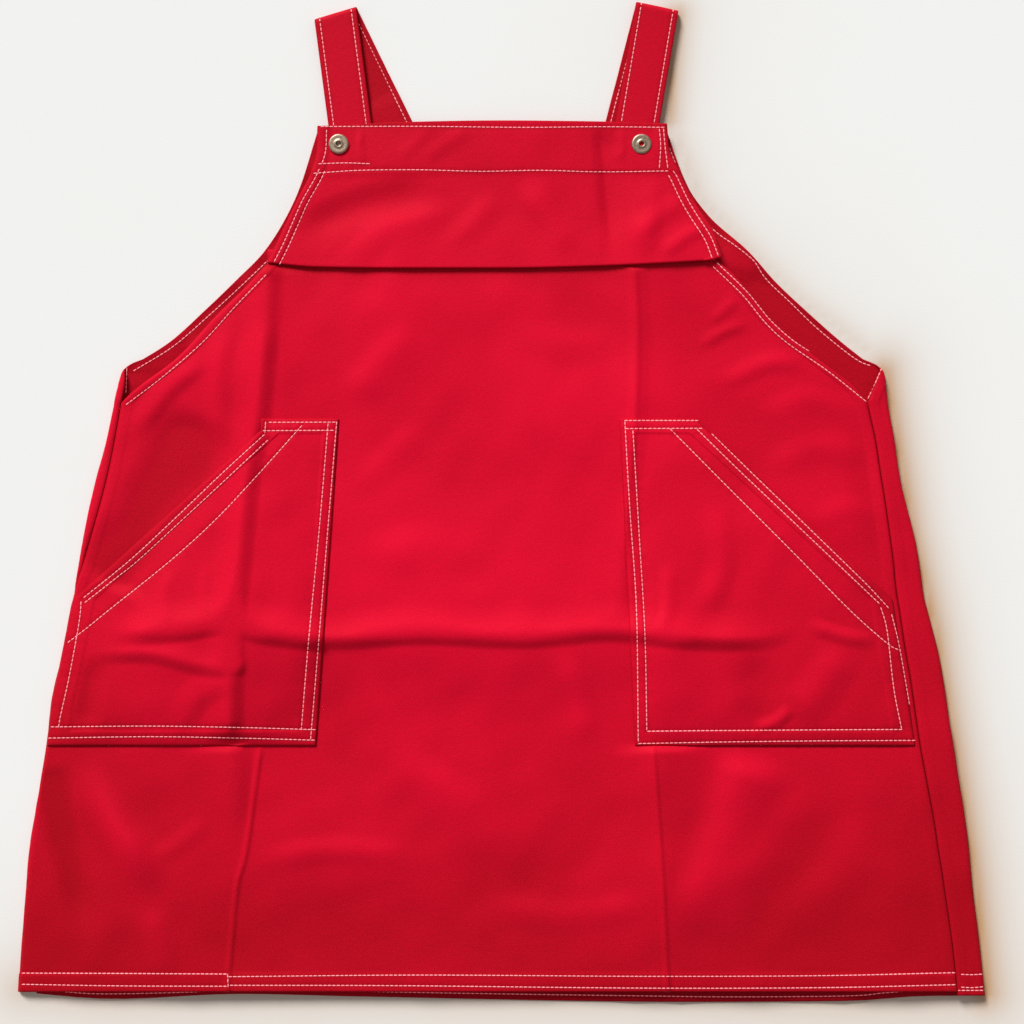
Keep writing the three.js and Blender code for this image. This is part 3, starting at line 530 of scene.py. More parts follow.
class Relief:
    """The folds and the soft unevenness of the cloth, as heights over its smooth lay."""

    def __init__(self) -> None:
        """Draws the soft waves, the same ones each time."""
        draw = np.random.default_rng(11)
        self.waves = []
        for count, shortest, longest, size in ((18, 80, 240, 0.5), (26, 30, 70, 0.09)):
            for _ in range(count):
                length, turn, phase = draw.uniform(shortest, longest), draw.uniform(0,
                    math.pi), draw.uniform(0, 6.3)
                self.waves.append((length, turn, phase, size * length / longest))

    def soft(self, x: Array, y: Array) -> Array:
        """The soft unevenness at points."""
        total = np.zeros(np.broadcast(x, y).shape)
        for length, turn, phase, size in self.waves:
            total += size * np.sin(2 * math.pi * (x * math.cos(turn) + y * math.sin(turn)) / length + phase)
        return total

    def fold(self, x: Array, y: Array, fold: Fold) -> Array:
        """The height of one fold at points."""
        total = np.zeros(np.broadcast(x, y).shape)
        line = smooth_line(from_photo(fold.line))
        widest = max(fold.lit, fold.shade)
        low, high = line.min(axis=0) - widest, line.max(axis=0) + widest
        near = (x > low[0]) & (x < high[0]) & (y > low[1]) & (y < high[1])
        if not near.any():
            return total
        away, along, length = near_line(x[near], y[near], line)
        lit = away > 0
        distance = np.abs(away)
        ridge = 1 - ease(distance / np.where(lit, fold.lit, fold.shade))
        if fold.kind is FoldKind.PRESSED:
            tip = min(2.2, fold.lit / 3)
            rounded = np.sqrt(distance**2 + tip**2) - tip
            ridge = np.where(lit, (1 - unit(rounded / fold.lit)) ** 2, ridge)
        share = along / length
        start, end = (ease(s / max(fade, 1e-3)) for s, fade in zip((share, 1 - share), fold.ends))
        total[near] = FULLNESS * fold.height * ridge * start * end
        return total

    def at(self, x: Array, y: Array, places: Sequence[Place],
            kinds: Sequence[FoldKind] = tuple(FoldKind)) -> Array:
        """All that lies over the smooth lay at points, for the pieces of cloth and the kinds of fold named."""
        total = self.soft(x, y)
        for fold in FOLDS:
            if fold.place in places and fold.kind in kinds:
                total = total + self.fold(x, y, fold)
        return total


def hem_shape(distance: Array, depth: float, rows: Sequence[float]) -> Array:
    """The low relief of a turned hem: thicker up to its depth, with a groove at each row of stitches."""
    turned = 0.7 * (1 - ease((distance - depth) / 1.6))
    grooves = sum(0.3 * bell(distance - row, 1.0) for row in rows)
    return turned - grooves - 0.3 * np.exp(-np.maximum(distance, 0) / 0.7)


def pressed(height: Array) -> Array:
    """Heights whose part over the proud height is pressed together, so no fold stands too tall."""
    over = np.maximum(height - CUT.proud_height, 0)
    return height - over + CUT.proud_give * np.tanh(over / CUT.proud_give)


class Lay:
    """The loop of cloth at each height: the front on top, the back below, turned round both side folds."""

    def __init__(self) -> None:
        """Reads the tables."""
        self.skirt = {side: course(SKIRT_ROWS, "down", side) for side in ("left", "right")}
        self.wrap = {side: course(SKIRT_ROWS, "down", f"seam_{side}") for side in ("left", "right")}
        self.bib = {side: course(BIB_ROWS, "down", side) for side in ("left", "right", "lean")}
        self.armhole = {side: course(ARMHOLE_ROWS, "down", side) for side in ("left", "right")}
        self.back = {side: course(BACK_ROWS, "down", side) for side in ("left", "right")}
        self.turn = {side: course(TURN_ROWS, "down", side) for side in ("left", "right")}
        self.drop = course(HEM_ROWS, "across", "drop")
        self.relief = Relief()

    def folds(self, y: Array) -> tuple[Array, Array]:
        """The left and right side folds' outermost lines at heights."""
        down = (CUT.underarm_y - y) / CUT.skirt_length
        left, right = (
            between(CUT.underarm_width, CUT.hem_width, self.skirt[side](down)) / 2 for side in ("left",
                "right")
        )
        return -left, right

    def half(self, y: Array) -> Array:
        """The cloth from fold to fold over the top."""
        left, right = self.folds(y)
        return right - left - 2 * CUT.fold_radius + 2 * CUT.quarter

    def on_top(self, x: Array, y: Array) -> Array:
        """The place on the loop of a line on top."""
        return CUT.quarter + x - self.folds(y)[0] - CUT.fold_radius

    def underneath(self, x: Array, y: Array) -> Array:
        """The place on the loop of a line underneath."""
        return self.half(y) + CUT.quarter + self.folds(y)[1] - CUT.fold_radius - x

    def seams(self, y: Array) -> tuple[Array, Array]:
        """The places of the side seams."""
        down = (CUT.underarm_y - y) / CUT.skirt_length
        left = CUT.left_wrap * self.wrap["left"](down)
        return left, self.half(y) - CUT.right_wrap * self.wrap["right"](down)

    def bib_edges(self, y: Array) -> tuple[Array, Array]:
        """The left and right edges of the bib."""
        down = -y / CUT.bib_length
        centre = -CUT.bib_lean * self.bib["lean"](down)
        left, right = (
            between(CUT.bib_top_width, CUT.bib_foot_width,
                self.bib[side](down)) / 2 for side in ("left", "right")
        )
        return centre - left, centre + right

    def front_edges(self, y: float) -> tuple[float, float]:
        """The front panel's edges at a height, as places on the loop."""
        if y > CUT.tuck_y:
            left, right = self.bib_edges(y)
            return float(self.on_top(left, y)), float(self.on_top(right, y))
        if y > CUT.underarm_y:
            feet = self.bib_edges(CUT.tuck_y)
            ends = self.underarm_ends()
            down = (CUT.tuck_y - y) / CUT.armhole_length
            edges = [
                between(foot, end, self.armhole[side](down)) for foot, end,
                    side in zip(feet, ends, ("left", "right"))
            ]
            return tuple(float(self.on_top(edge, y)) for edge in edges)
        left, right = self.seams(y)
        return float(left) + CUT.seam_gap / 2, float(right) - CUT.seam_gap / 2

    def underarm_ends(self) -> tuple[float, float]:
        """Where the side seams start on top."""
        y = CUT.underarm_y
        return tuple(float(self.point(place, y)[0]) for place in self.seams(y))

    def body_height(self, x: Array, y: Array) -> Array:
        """Height of the front's outer face below the tuck, without folds."""
        left, right = self.folds(y)
        inside = np.minimum(x - left, right - x) - CUT.fold_radius
        return CUT.side_height + CUT.loft * swell(inside / CUT.loft_run)

    def top_height(self, x: Array, y: Array) -> Array:
        """Height of the front's outer face, without folds."""
        below_band = unit((-y - CUT.band_depth) / (CUT.bib_length - CUT.band_depth))
        tuck_top = self.body_height(x, CUT.tuck_y) + CUT.tuck_step
        return np.where(
            y < CUT.tuck_y, self.body_height(x, y), between(CUT.band_height, tuck_top, below_band)
        )

    def rise(self, x: Array, y: Array, places: Sequence[Place]) -> Array:
        """How far the soft folds rise or fall, from about -1 to 1, which sets the painted light and shade of
        the folds.
        """
        return np.clip(self.relief.at(x, y, places, (FoldKind.SOFT,)) / 5, -1, 1)

    def draped(self, x: Array, y: Array, places: Sequence[Place]) -> Array:
        """The folds' heights, held clear of the back below and pressed down at their tallest."""
        return pressed(self.hung(x, y, places))

    def hung(self, x: Array, y: Array, places: Sequence[Place]) -> Array:
        """The folds' heights, with their valleys held clear of the back below."""
        height = self.relief.at(x, y, places)
        depth = self.top_height(x, y) - CUT.clear_height
        return (height - depth + np.sqrt((height + depth) ** 2 + 1)) / 2

    def point(self, place: Array, y: Array) -> tuple[Array, Array, Array, Array]:
        """A point of the loop's outer face, without folds.

        Args:
            place: Lengths of cloth from the left side fold, over the top and back underneath.
            y: Heights on the apron.

        Returns:
            x and z of the points, and x and z of the outward direction there.
        """
        place, y = np.broadcast_arrays(np.asarray(place, float), np.asarray(y, float))
        left, right = self.folds(y)
        radius, quarter = CUT.fold_radius, CUT.quarter
        flat = right - left - 2 * radius
        rest = np.mod(place, 2 * (flat + 2 * quarter))
        first, second = quarter, quarter + flat
        third, fourth = second + 2 * quarter, second + 2 * quarter + flat
        stretches = [rest < first, rest < second, rest < third, rest < fourth]
        zero = np.zeros_like(rest)
        angle = np.select(
            stretches,
            [rest / radius - math.pi / 2, zero, (rest - second) / radius, zero + math.pi],
            math.pi + (rest - fourth) / radius,
        )
        nx, nz = np.sin(angle), np.cos(angle)
        top_x = left + radius + rest - first
        x = np.select(
            stretches,
            [left + radius + radius * nx, top_x, right - radius + radius * nx,
                right - radius - (rest - third)],
            left + radius + radius * nx,
        )
        z = np.select(stretches[:2], [radius + radius * nz, self.top_height(top_x, y)], radius + radius * nz)
        return x, z, nx, nz


# Meshes of cloth


@dataclass
class Sheet:
    """A grid of cloth: its middle layer's points in the lay, and the flat cloth's own coordinates, with the
    masks for the shade and light painted on it.
    """

    name: str
    points: Array
    flat: Array
    edge: Array
    sewn: Array
    rise: Array | float = 0.0
    thickness: float = CUT.cloth

    def build(self, origin_y: float) -> bpy.types.Object:
        """Makes the cloth's object.

        Args:
            origin_y: Where the bib's top edge is in the model's frame, in metres.

        Returns:
            The object, with its thickness as a live Solidify modifier.
        """
        rows, columns = self.points.shape[:2]
        bm = bmesh.new()
        uv = bm.loops.layers.uv.new("cloth")
        bmesh.ops.create_grid(bm, x_segments=columns - 1, y_segments=rows - 1, size=1.0)
        for vertex in bm.verts:
            column = round((vertex.co.x + 1) / 2 * (columns - 1))
            row = round((1 - vertex.co.y) / 2 * (rows - 1))
            vertex.index = row * columns + column
        placed = drawn_in(self.points).reshape(-1, 3)
        flat = self.flat.reshape(-1, 2)
        # edge, sewn and rise go with the mesh as masks for the painted shade by the edges, along the stitches
        # and in the folds, and the painted light on fold crests.
        marks = [(bm.verts.layers.float.new(name), np.broadcast_to(values, self.points.shape[:2]).ravel())
                 for name, values in (("edge", self.edge), ("sewn", self.sewn), ("rise", self.rise))]
        for face in bm.faces:
            face.smooth = True
            for loop in face.loops:
                loop[uv].uv = flat[loop.vert.index] * MM
        for vertex in bm.verts:
            x, y, z = placed[vertex.index]
            vertex.co = (x * MM, y * MM + origin_y, z * MM)
            for layer, values in marks:
                vertex[layer] = values[vertex.index]
        piece = link_mesh(self.name, bm)
        solid = piece.modifiers.new("thickness", "SOLIDIFY")
        solid.thickness = self.thickness * MM
        solid.offset = 0.0
        return piece


def link_mesh(name: str, bm: bmesh.types.BMesh) -> bpy.types.Object:
    """Turns a bmesh into a linked object at the origin."""
    mesh = bpy.data.meshes.new(name)
    bm.to_mesh(mesh)
    bm.free()
    piece = bpy.data.objects.new(name, mesh)
    bpy.context.scene.collection.objects.link(piece)
    return piece


def stations(spans: Sequence[tuple[float, float, int]]) -> Array:
    """Stations along a line: for each span its start, its end and how many equal steps it has."""
    parts = [np.linspace(start, end, count + 1)[:-1] for start, end, count in spans]
    return np.concatenate([*parts, [spans[-1][1]]])


def columns_through(start: float, stops: Sequence[float], end: float, steps: Sequence[int],
        least: float) -> Array:
    """Columns from start to end through the stops between, which keep a least width from one another."""
    places = [start, *stops, end]
    last = len(places) - 1
    for k in range(1, last):
        places[k] = max(places[k], places[k - 1] + steps[k - 1] * least)
    for k in range(last - 1, 0, -1):
        places[k] = min(places[k], places[k + 1] - steps[k] * least)
    return stations([(places[k], places[k + 1], steps[k]) for k in range(last)])


# Rows of stitches


class StitchRow(NamedTuple):
    """A row of stitches on a piece: its line in the photograph's pixels, or beside it to the left."""

    name: str
    piece: str
    line: Points
    inset: float = 0.0
    faces: tuple[int, ...] = (1,)


LEFT_BIB_EDGE = ((313.5, 166), (310, 174), (297.5, 196), (290, 212.5), (278, 240), (268.5, 259))
RIGHT_BIB_EDGE = ((674, 167), (679, 171), (691, 196), (701, 213), (707, 222), (715.5, 236), (722.5, 254))
LEFT_ARMHOLE = ((261, 269), (230, 301), (197, 337), (159, 370), (121, 399))
RIGHT_ARMHOLE = ((719, 260), (749, 289), (772, 317), (794, 337), (833, 364), (872, 395))
LEFT_BACK_EDGE = ((268, 250), (241, 276), (203, 311), (168, 341), (129, 365))
RIGHT_BACK_EDGE = ((673.7, 135.4), (680.8, 153.8), (688, 175), (693, 188.5), (701, 202.8), (711.4, 216),
                   (724.7, 228), (740, 238.5), (760, 255), (773, 274), (796, 296), (824, 323), (859, 351),
                   (874, 358))
LEFT_HEM_EDGE = ((19, 991), (65, 996), (108, 998), (195, 996), (240, 993), (359, 995.5), (500, 998),
    (640, 1000),
                 (733, 1001), (848, 1000), (885, 997), (919, 995), (984, 994.7))

STITCH_ROWS = (
    StitchRow("band top", "front", ((320, 126.2), (420, 126), (520, 127), (600, 126.4), (665, 127))),
    StitchRow("band foot", "front", ((313, 173), (360, 170), (420, 169.5), (480, 171), (540, 170),
        (600, 171.5),
                                     (669, 170.6))),
    StitchRow("band short", "front", ((318, 163.5), (345, 162.6), (370, 163.4))),
    StitchRow("band left", "front", ((326.4, 129), (325.6, 150), (322, 163))),
    StitchRow("band right inner", "front", ((659.4, 128), (660.8, 146), (659.4, 168))),
    StitchRow("band right outer", "front", ((663.6, 128), (665.4, 148), (668, 168))),
    StitchRow("bib left outer", "front", LEFT_BIB_EDGE, 5.2),
    StitchRow("bib left inner", "front", LEFT_BIB_EDGE, 10.2),
    StitchRow("bib right outer", "front", RIGHT_BIB_EDGE[::-1], 3.6),
    StitchRow("bib right inner", "front", RIGHT_BIB_EDGE[::-1], 9.2),
    StitchRow("left armhole", "front", LEFT_ARMHOLE, 6.2),
    StitchRow("right armhole outer", "front", ((815, 351), (794, 337), (772, 317), (749, 289),
        (719, 260)), 2.6),
    StitchRow("right armhole inner", "front", RIGHT_ARMHOLE[::-1], 7.2),
    StitchRow("hem upper left", "front", ((21, 973.4), (120, 973.8), (227, 974.4))),
    StitchRow("hem jog", "front", ((227.4, 974), (228, 988))),
    StitchRow("hem upper", "front", ((228, 977), (420, 975.4), (640, 976.6), (820, 976), (956, 973))),
    StitchRow("hem lower left", "front", ((21, 984.6), (120, 986.2), (227, 986.6))),
    StitchRow("hem lower", "front", ((229, 985.6), (400, 986), (640, 988.4), (820, 988), (956, 985))),
    StitchRow("hem wrap upper", "back", ((961, 974.6), (972, 975), (983, 974.4))),
    StitchRow("hem wrap lower", "back", ((961, 987.4), (972, 988), (984, 987))),
    StitchRow("hem back row", "back", LEFT_HEM_EDGE, 3.4, (1, -1)),
    StitchRow("hem back upper", "back", LEFT_HEM_EDGE, 13.6, (-1,)),
    StitchRow("left back armhole", "back", LEFT_BACK_EDGE, 6.0, (1, -1)),
    StitchRow("left back corner", "back", ((126.5, 368), (126, 380), (125.5, 393))),
    StitchRow("right back armhole", "back", RIGHT_BACK_EDGE[::-1], 7.0, (1, -1)),
    StitchRow("right back corner", "back", ((882, 368), (876, 382), (868, 399))),
    StitchRow("left top outer", "left pocket", ((268, 422.2), (336, 422))),
    StitchRow("left top inner", "left pocket", ((262, 430.6), (334, 430.2))),
    StitchRow("left top end", "left pocket", ((265.4, 421.5), (264.6, 433))),
    StitchRow("left seam outer", "left pocket", ((336.6, 421), (327.6, 530), (318, 648), (310.4, 740))),
    StitchRow("left seam inner", "left pocket", ((328, 423), (319, 530), (309, 635), (301, 731))),
    StitchRow("left mouth outer", "left pocket", ((264.6, 434), (220, 475), (172, 521), (129.8, 560),
        (83, 598))),
    StitchRow("left mouth inner", "left pocket", ((268, 439.6), (226, 479), (180, 521.6), (138.2, 560),
                                                  (115.8, 578), (84, 603))),
    StitchRow("left facing", "left pocket", ((302, 425), (260, 472), (217, 518), (171, 560), (110, 609),
                                             (82, 631.6), (67, 643))),
    StitchRow("left side", "left pocket", ((80.7, 601), (80, 613), (76.5, 636), (68, 681), (61, 712),
        (58, 728))),
    StitchRow("left foot upper", "left pocket", ((50, 727), (150, 726.2), (240, 727.6), (316, 729.8))),
    StitchRow("left foot lower", "left pocket", ((47.5, 738.2), (150, 736.8), (240, 738.2), (315, 740.3))),
    StitchRow("right top outer", "right pocket", ((624, 420.4), (699, 420.4))),
    StitchRow("right top inner", "right pocket", ((625, 428.4), (703, 428.2))),
    StitchRow("right seam outer", "right pocket", ((625, 421), (630, 510), (636.6, 610), (638.4, 742))),
    StitchRow("right seam inner", "right pocket", ((633, 430), (639, 530), (645, 635), (647, 731))),
    StitchRow("right facing", "right pocket", ((670, 428.5), (728, 487), (791, 550), (850, 610), (887, 643),
                                               (899, 650))),
    StitchRow("right mouth inner", "right pocket", ((697, 429), (740, 471), (786, 514.6), (833.8, 560),
        (880, 604))),
    StitchRow("right mouth outer", "right pocket", ((702, 424), (748, 469), (795, 514.4), (842, 560),
        (868, 585.5),
                                                    (889.3, 608.5))),
    StitchRow("right side outer", "right pocket", ((891.8, 614), (898.9, 643), (907.6, 692), (915.4, 740))),
    StitchRow("right side inner", "right pocket", ((881, 607), (887.4, 631), (894, 688), (902, 729.6))),
    StitchRow("right foot upper", "right pocket", ((647, 731.4), (730, 730.6), (820, 730), (903, 729.6))),
    StitchRow("right foot lower", "right pocket", ((638, 743.7), (730, 742), (820, 741), (916, 740.5))),
)

STITCH_PITCH = 3.8
STITCH_LENGTH = 3.55
STITCH_WIDTH = 0.98
STITCH_HEIGHT = 0.5
LINE_STEP = 3.0


def drawn_in(points: Array) -> Array:
    """Draws points in towards the camera's axis by their height.

    The lay's sizes are read off the photograph at the floor's scale, and raised cloth looks larger there.

    Args:
        points: Points in the lay, with x, y and z last.

    Returns:
        The points where the camera sees them in the same places as flat ones.
    """
    keep = 1 - points[..., 2:] / CAMERA_HEIGHT
    axis = np.array([AXIS_X, AXIS_Y])
    return np.concatenate([axis + (points[..., :2] - axis) * keep, points[..., 2:]], axis=-1)


def smooth_line(points: Array) -> Array:
    """Runs a smooth curve through points and divides it evenly.

    Args:
        points: The places that the curve passes.

    Returns:
        Places along the curve, about three millimetres apart.
    """
    ends = np.concatenate([[2 * points[0] - points[1]], points, [2 * points[-1] - points[-2]]])
    parts = []
    for a, b, c, d in zip(ends[:-3], ends[1:-2], ends[2:-1], ends[3:]):
        t = np.linspace(0, 1, max(2, int(np.hypot(*(c - b)) / LINE_STEP)), endpoint=False)[:, None]
        parts.append(0.5 * (2 * b + (c - a) * t + (2 * a - 5 * b + 4 * c - d) * t**2
                            + (3 * b - a - 3 * c + d) * t**3))
    return np.concatenate([*parts, [points[-1]]])


def row_line(row: StitchRow) -> Array:
    """Where a row of stitches runs on the laid apron."""
    line = smooth_line(from_photo(row.line))
    return inset_line(line, row.inset) if row.inset else line


def sewn_relief(x: Array, y: Array, piece: str) -> tuple[Array, Array]:
    """What a piece's rows of stitches draw into it.

    Args:
        x: Where the points are across.
        y: Where the points are up.
        piece: The piece, as the table names it.

    Returns:
        The height of the rows' grooves and puckers, and how near each point is to a row, from 0 to 1, which
        sets the painted shade along the rows.
    """
    total, painted_shade = np.zeros(np.broadcast(x, y).shape), np.zeros(np.broadcast(x, y).shape)
    for k, row in enumerate(STITCH_ROWS):
        if row.piece != piece or 1 not in row.faces:
            continue
        line = row_line(row)
        low, high = line.min(axis=0) - 16, line.max(axis=0) + 16
        near = (x > low[0]) & (x < high[0]) & (y > low[1]) & (y < high[1])
        if not near.any():
            continue
        away, along, _ = near_line(x[near], y[near], line)
        groove = bell(away, 1.5)
        total[near] += 0.17 * ripple(along, k + 0.37) * bell(away, 6.0) - 0.3 * groove
        painted_shade[near] = np.maximum(painted_shade[near], bell(away, 2.0))
    return total, painted_shade


class Stitching:
    """Rows of thread, half sunk into the cloth that they are sewn through."""

    def __init__(self, origin_y: float) -> None:
        """Makes the shape of one stitch, a slim round grain along z.

        Args:
            origin_y: Where the bib's top edge is in the model's frame, in metres.
        """
        self.origin_y = origin_y
        self.draw = np.random.default_rng(5)
        bm = bmesh.new()
        bmesh.ops.create_uvsphere(bm, u_segments=6, v_segments=4, radius=0.5)
        bm.verts.index_update()
        self.grain = np.array([vertex.co for vertex in bm.verts])
        self.faces = [tuple(vertex.index for vertex in face.verts) for face in bm.faces]
        bm.free()
        self.places: list[Array] = []

    def divide(self, points: Array) -> Array:
        """Divides a line of points into the places of its stitches, evenly."""
        steps = np.linalg.norm(np.diff(points, axis=0), axis=1)
        along = np.concatenate([[0.0], np.cumsum(steps)])
        count = max(1, round(along[-1] / STITCH_PITCH))
        places = (np.arange(count) + 0.5) * along[-1] / count
        return np.stack([np.interp(places, along, column) for column in points.T], axis=1)

    def sew(self, places: Array, normals: Array) -> None:
        """Adds one row of stitches.

        Args:
            places: The stitches' middles on the cloth's face, in millimetres in the lay.
            normals: The face's outward directions there.
        """
        if len(places) < 2:
            return
        run = np.gradient(places, axis=0)
        side = np.cross(run, normals)
        side /= np.linalg.norm(side, axis=1)[:, None]
        run = run + side * self.draw.normal(0, 0.05, (len(run), 1))
        run /= np.linalg.norm(run, axis=1)[:, None]
        up = np.cross(side, run)
        length = self.draw.normal(STITCH_LENGTH, 0.1, (len(run), 1))
        axes = np.stack([side * STITCH_WIDTH, up * STITCH_HEIGHT, run * length], axis=1)
        middles = places + up * STITCH_HEIGHT * 0.3
        self.places.append(middles[:, None, :] + np.einsum("vk,nkc->nvc", self.grain, axes))

    def sew_onto(self, cloth: bpy.types.Object, piece: str) -> None:
        """Sews the table's rows onto a piece of cloth, wherever its face lies under or over them."""
        tree = BVHTree.FromObject(cloth, bpy.context.evaluated_depsgraph_get())
        for row in STITCH_ROWS:
            if row.piece != piece:
                continue
            for face in row.faces:
                places, normals = [], []
                for x, y in self.divide(row_line(row)):
                    foot = Vector((x * MM, y * MM + self.origin_y, 0))
                    eye = Vector((AXIS_X * MM, AXIS_Y * MM + self.origin_y, CAMERA_HEIGHT * MM))
                    start, aim = (eye, foot - eye) if face > 0 else (foot - Vector((0, 0, 0.05)),
                        Vector((0, 0, 1)))
                    place, normal, _, _ = tree.ray_cast(start, aim.normalized())
                    if place is not None and normal.z * face > 0.2:
                        places.append((place.x / MM, (place.y - self.origin_y) / MM, place.z / MM))
                        normals.append(tuple(normal))
                self.sew(np.array(places), np.array(normals))

    def finish(self, name: str) -> bpy.types.Object:
        """Makes one object of all the rows."""
        placed = np.concatenate([row.reshape(-1, 3) for row in self.places]) * MM
        placed[:, 1] += self.origin_y
        ring = len(self.grain)
        faces = [
            tuple(index + first for index in face)
            for first in range(0, len(placed), ring)
            for face in self.faces
        ]
        mesh = bpy.data.meshes.new(name)
        mesh.from_pydata(placed.tolist(), [], faces)
        mesh.shade_smooth()
        piece = bpy.data.objects.new(name, mesh)
        bpy.context.scene.collection.objects.link(piece)
        return piece


# The pieces of cloth

SKIRT_SPANS = (
    (CUT.underarm_y, -418.0, 52),
    (-418.0, -447.0, 20),
    (-447.0, -712.0, 66),
    (-712.0, CUT.hem_y, 19),
)
LEFT_CREASE_LINE = course([SideRow("", d, a, 0) for d, a in
                           ((0.16, -0.484), (0.34, -0.494), (0.72, -0.5), (0.837, -0.529), (1, -0.571))],
                          "down", "left")
RIGHT_CREASE_LINE = course([SideRow("", d, a, 0) for d, a in
                            ((0, 0.205), (0.156, 0.234), (0.165, 0.273), (0.33, 0.275), (0.72, 0.312),
                                (1, 0.343))],
                           "down", "left")
CREASE_RAIL = 14.0


class SwayRow(NamedTuple):
    """How far the bib's top edge and the tuck's edge lie above their straight lines, in millimetres."""

    across: float
    top: float
    tuck: float


SWAY_ROWS = (
    SwayRow(-199, -0.5, 0.5),
    SwayRow(-157, -0.4, -3.0),
    SwayRow(-85, 2.8, -3.9),
    SwayRow(0, 4.2, -3.9),
    SwayRow(85, 3.3, -2.0),
    SwayRow(141, 1.6, 0.6),
    SwayRow(187, 1.2, 3.2),
)
TOP_SWAY = course(SWAY_ROWS, "across", "top")
TUCK_SWAY = course(SWAY_ROWS, "across", "tuck")


def sway(x: Array, y: Array) -> Array:
    """How far the bib's cloth is shifted up at points: by its edges' bows, and less and less below the tuck."""
    down = unit(-y / CUT.bib_length)
    below = 1 - ease((CUT.tuck_y - 1 - y) / 60)
    return between(TOP_SWAY(x), TUCK_SWAY(x), down) * below


class ClothRow(NamedTuple):
    """A row of a panel's grid."""

    y: float
    section: float
    lift: float
    blend: float


def cloth_lengths(rows: Sequence[ClothRow]) -> Array:
    """How far along the flat cloth each row lies."""
    track = np.array([(row.y, row.lift) for row in rows])
    return -np.concatenate([[0.0], np.cumsum(np.linalg.norm(np.diff(track, axis=0), axis=1))])


@dataclass
class Panel:
    """What the front and the back share."""

    lay: Lay
    origin_y: float

    def raised(self, place: Array, section: Array, y: Array, lift: Array, height: Array, edge: Array,
               drop: Array | float = 0.0) -> Array:
        """Points of the cloth's middle layer.

        Args:
            place: Places on the loop.
            section: Heights that the loop is read at.
            y: Heights where the points are.
            lift: How far they are raised.
            height: The relief, where the cloth faces up.
            edge: The relief of edges and seams, all round the loop.
            drop: How far points hang down past their heights.

        Returns:
            An array of points in the lay.
        """
        x, z, nx, nz = self.lay.point(place, section)
        mask = ease((nz + 0.2) / 0.7)
        out = mask * height + edge - CUT.cloth / 2
        middle_z = np.maximum(z + nz * out + lift, CUT.cloth / 2 + 0.35)
        return np.stack([x + nx * out, y - drop + np.zeros_like(x), middle_z], axis=-1)

    def edge_relief(self, inside: Array, free: Array) -> Array:
        """The relief beside a panel's side edges: a turned hem where they are free, a sewn seam below."""
        hem = 0.7 * (1 - ease((inside - 8.6) / 1.6)) - 0.9 * np.exp(-inside / 0.9)
        seam = 0.35 * (1 - ease((inside - 8.0) / 2.5)) - 0.9 * bell(inside, 1.5)
        return between(seam, hem, free)


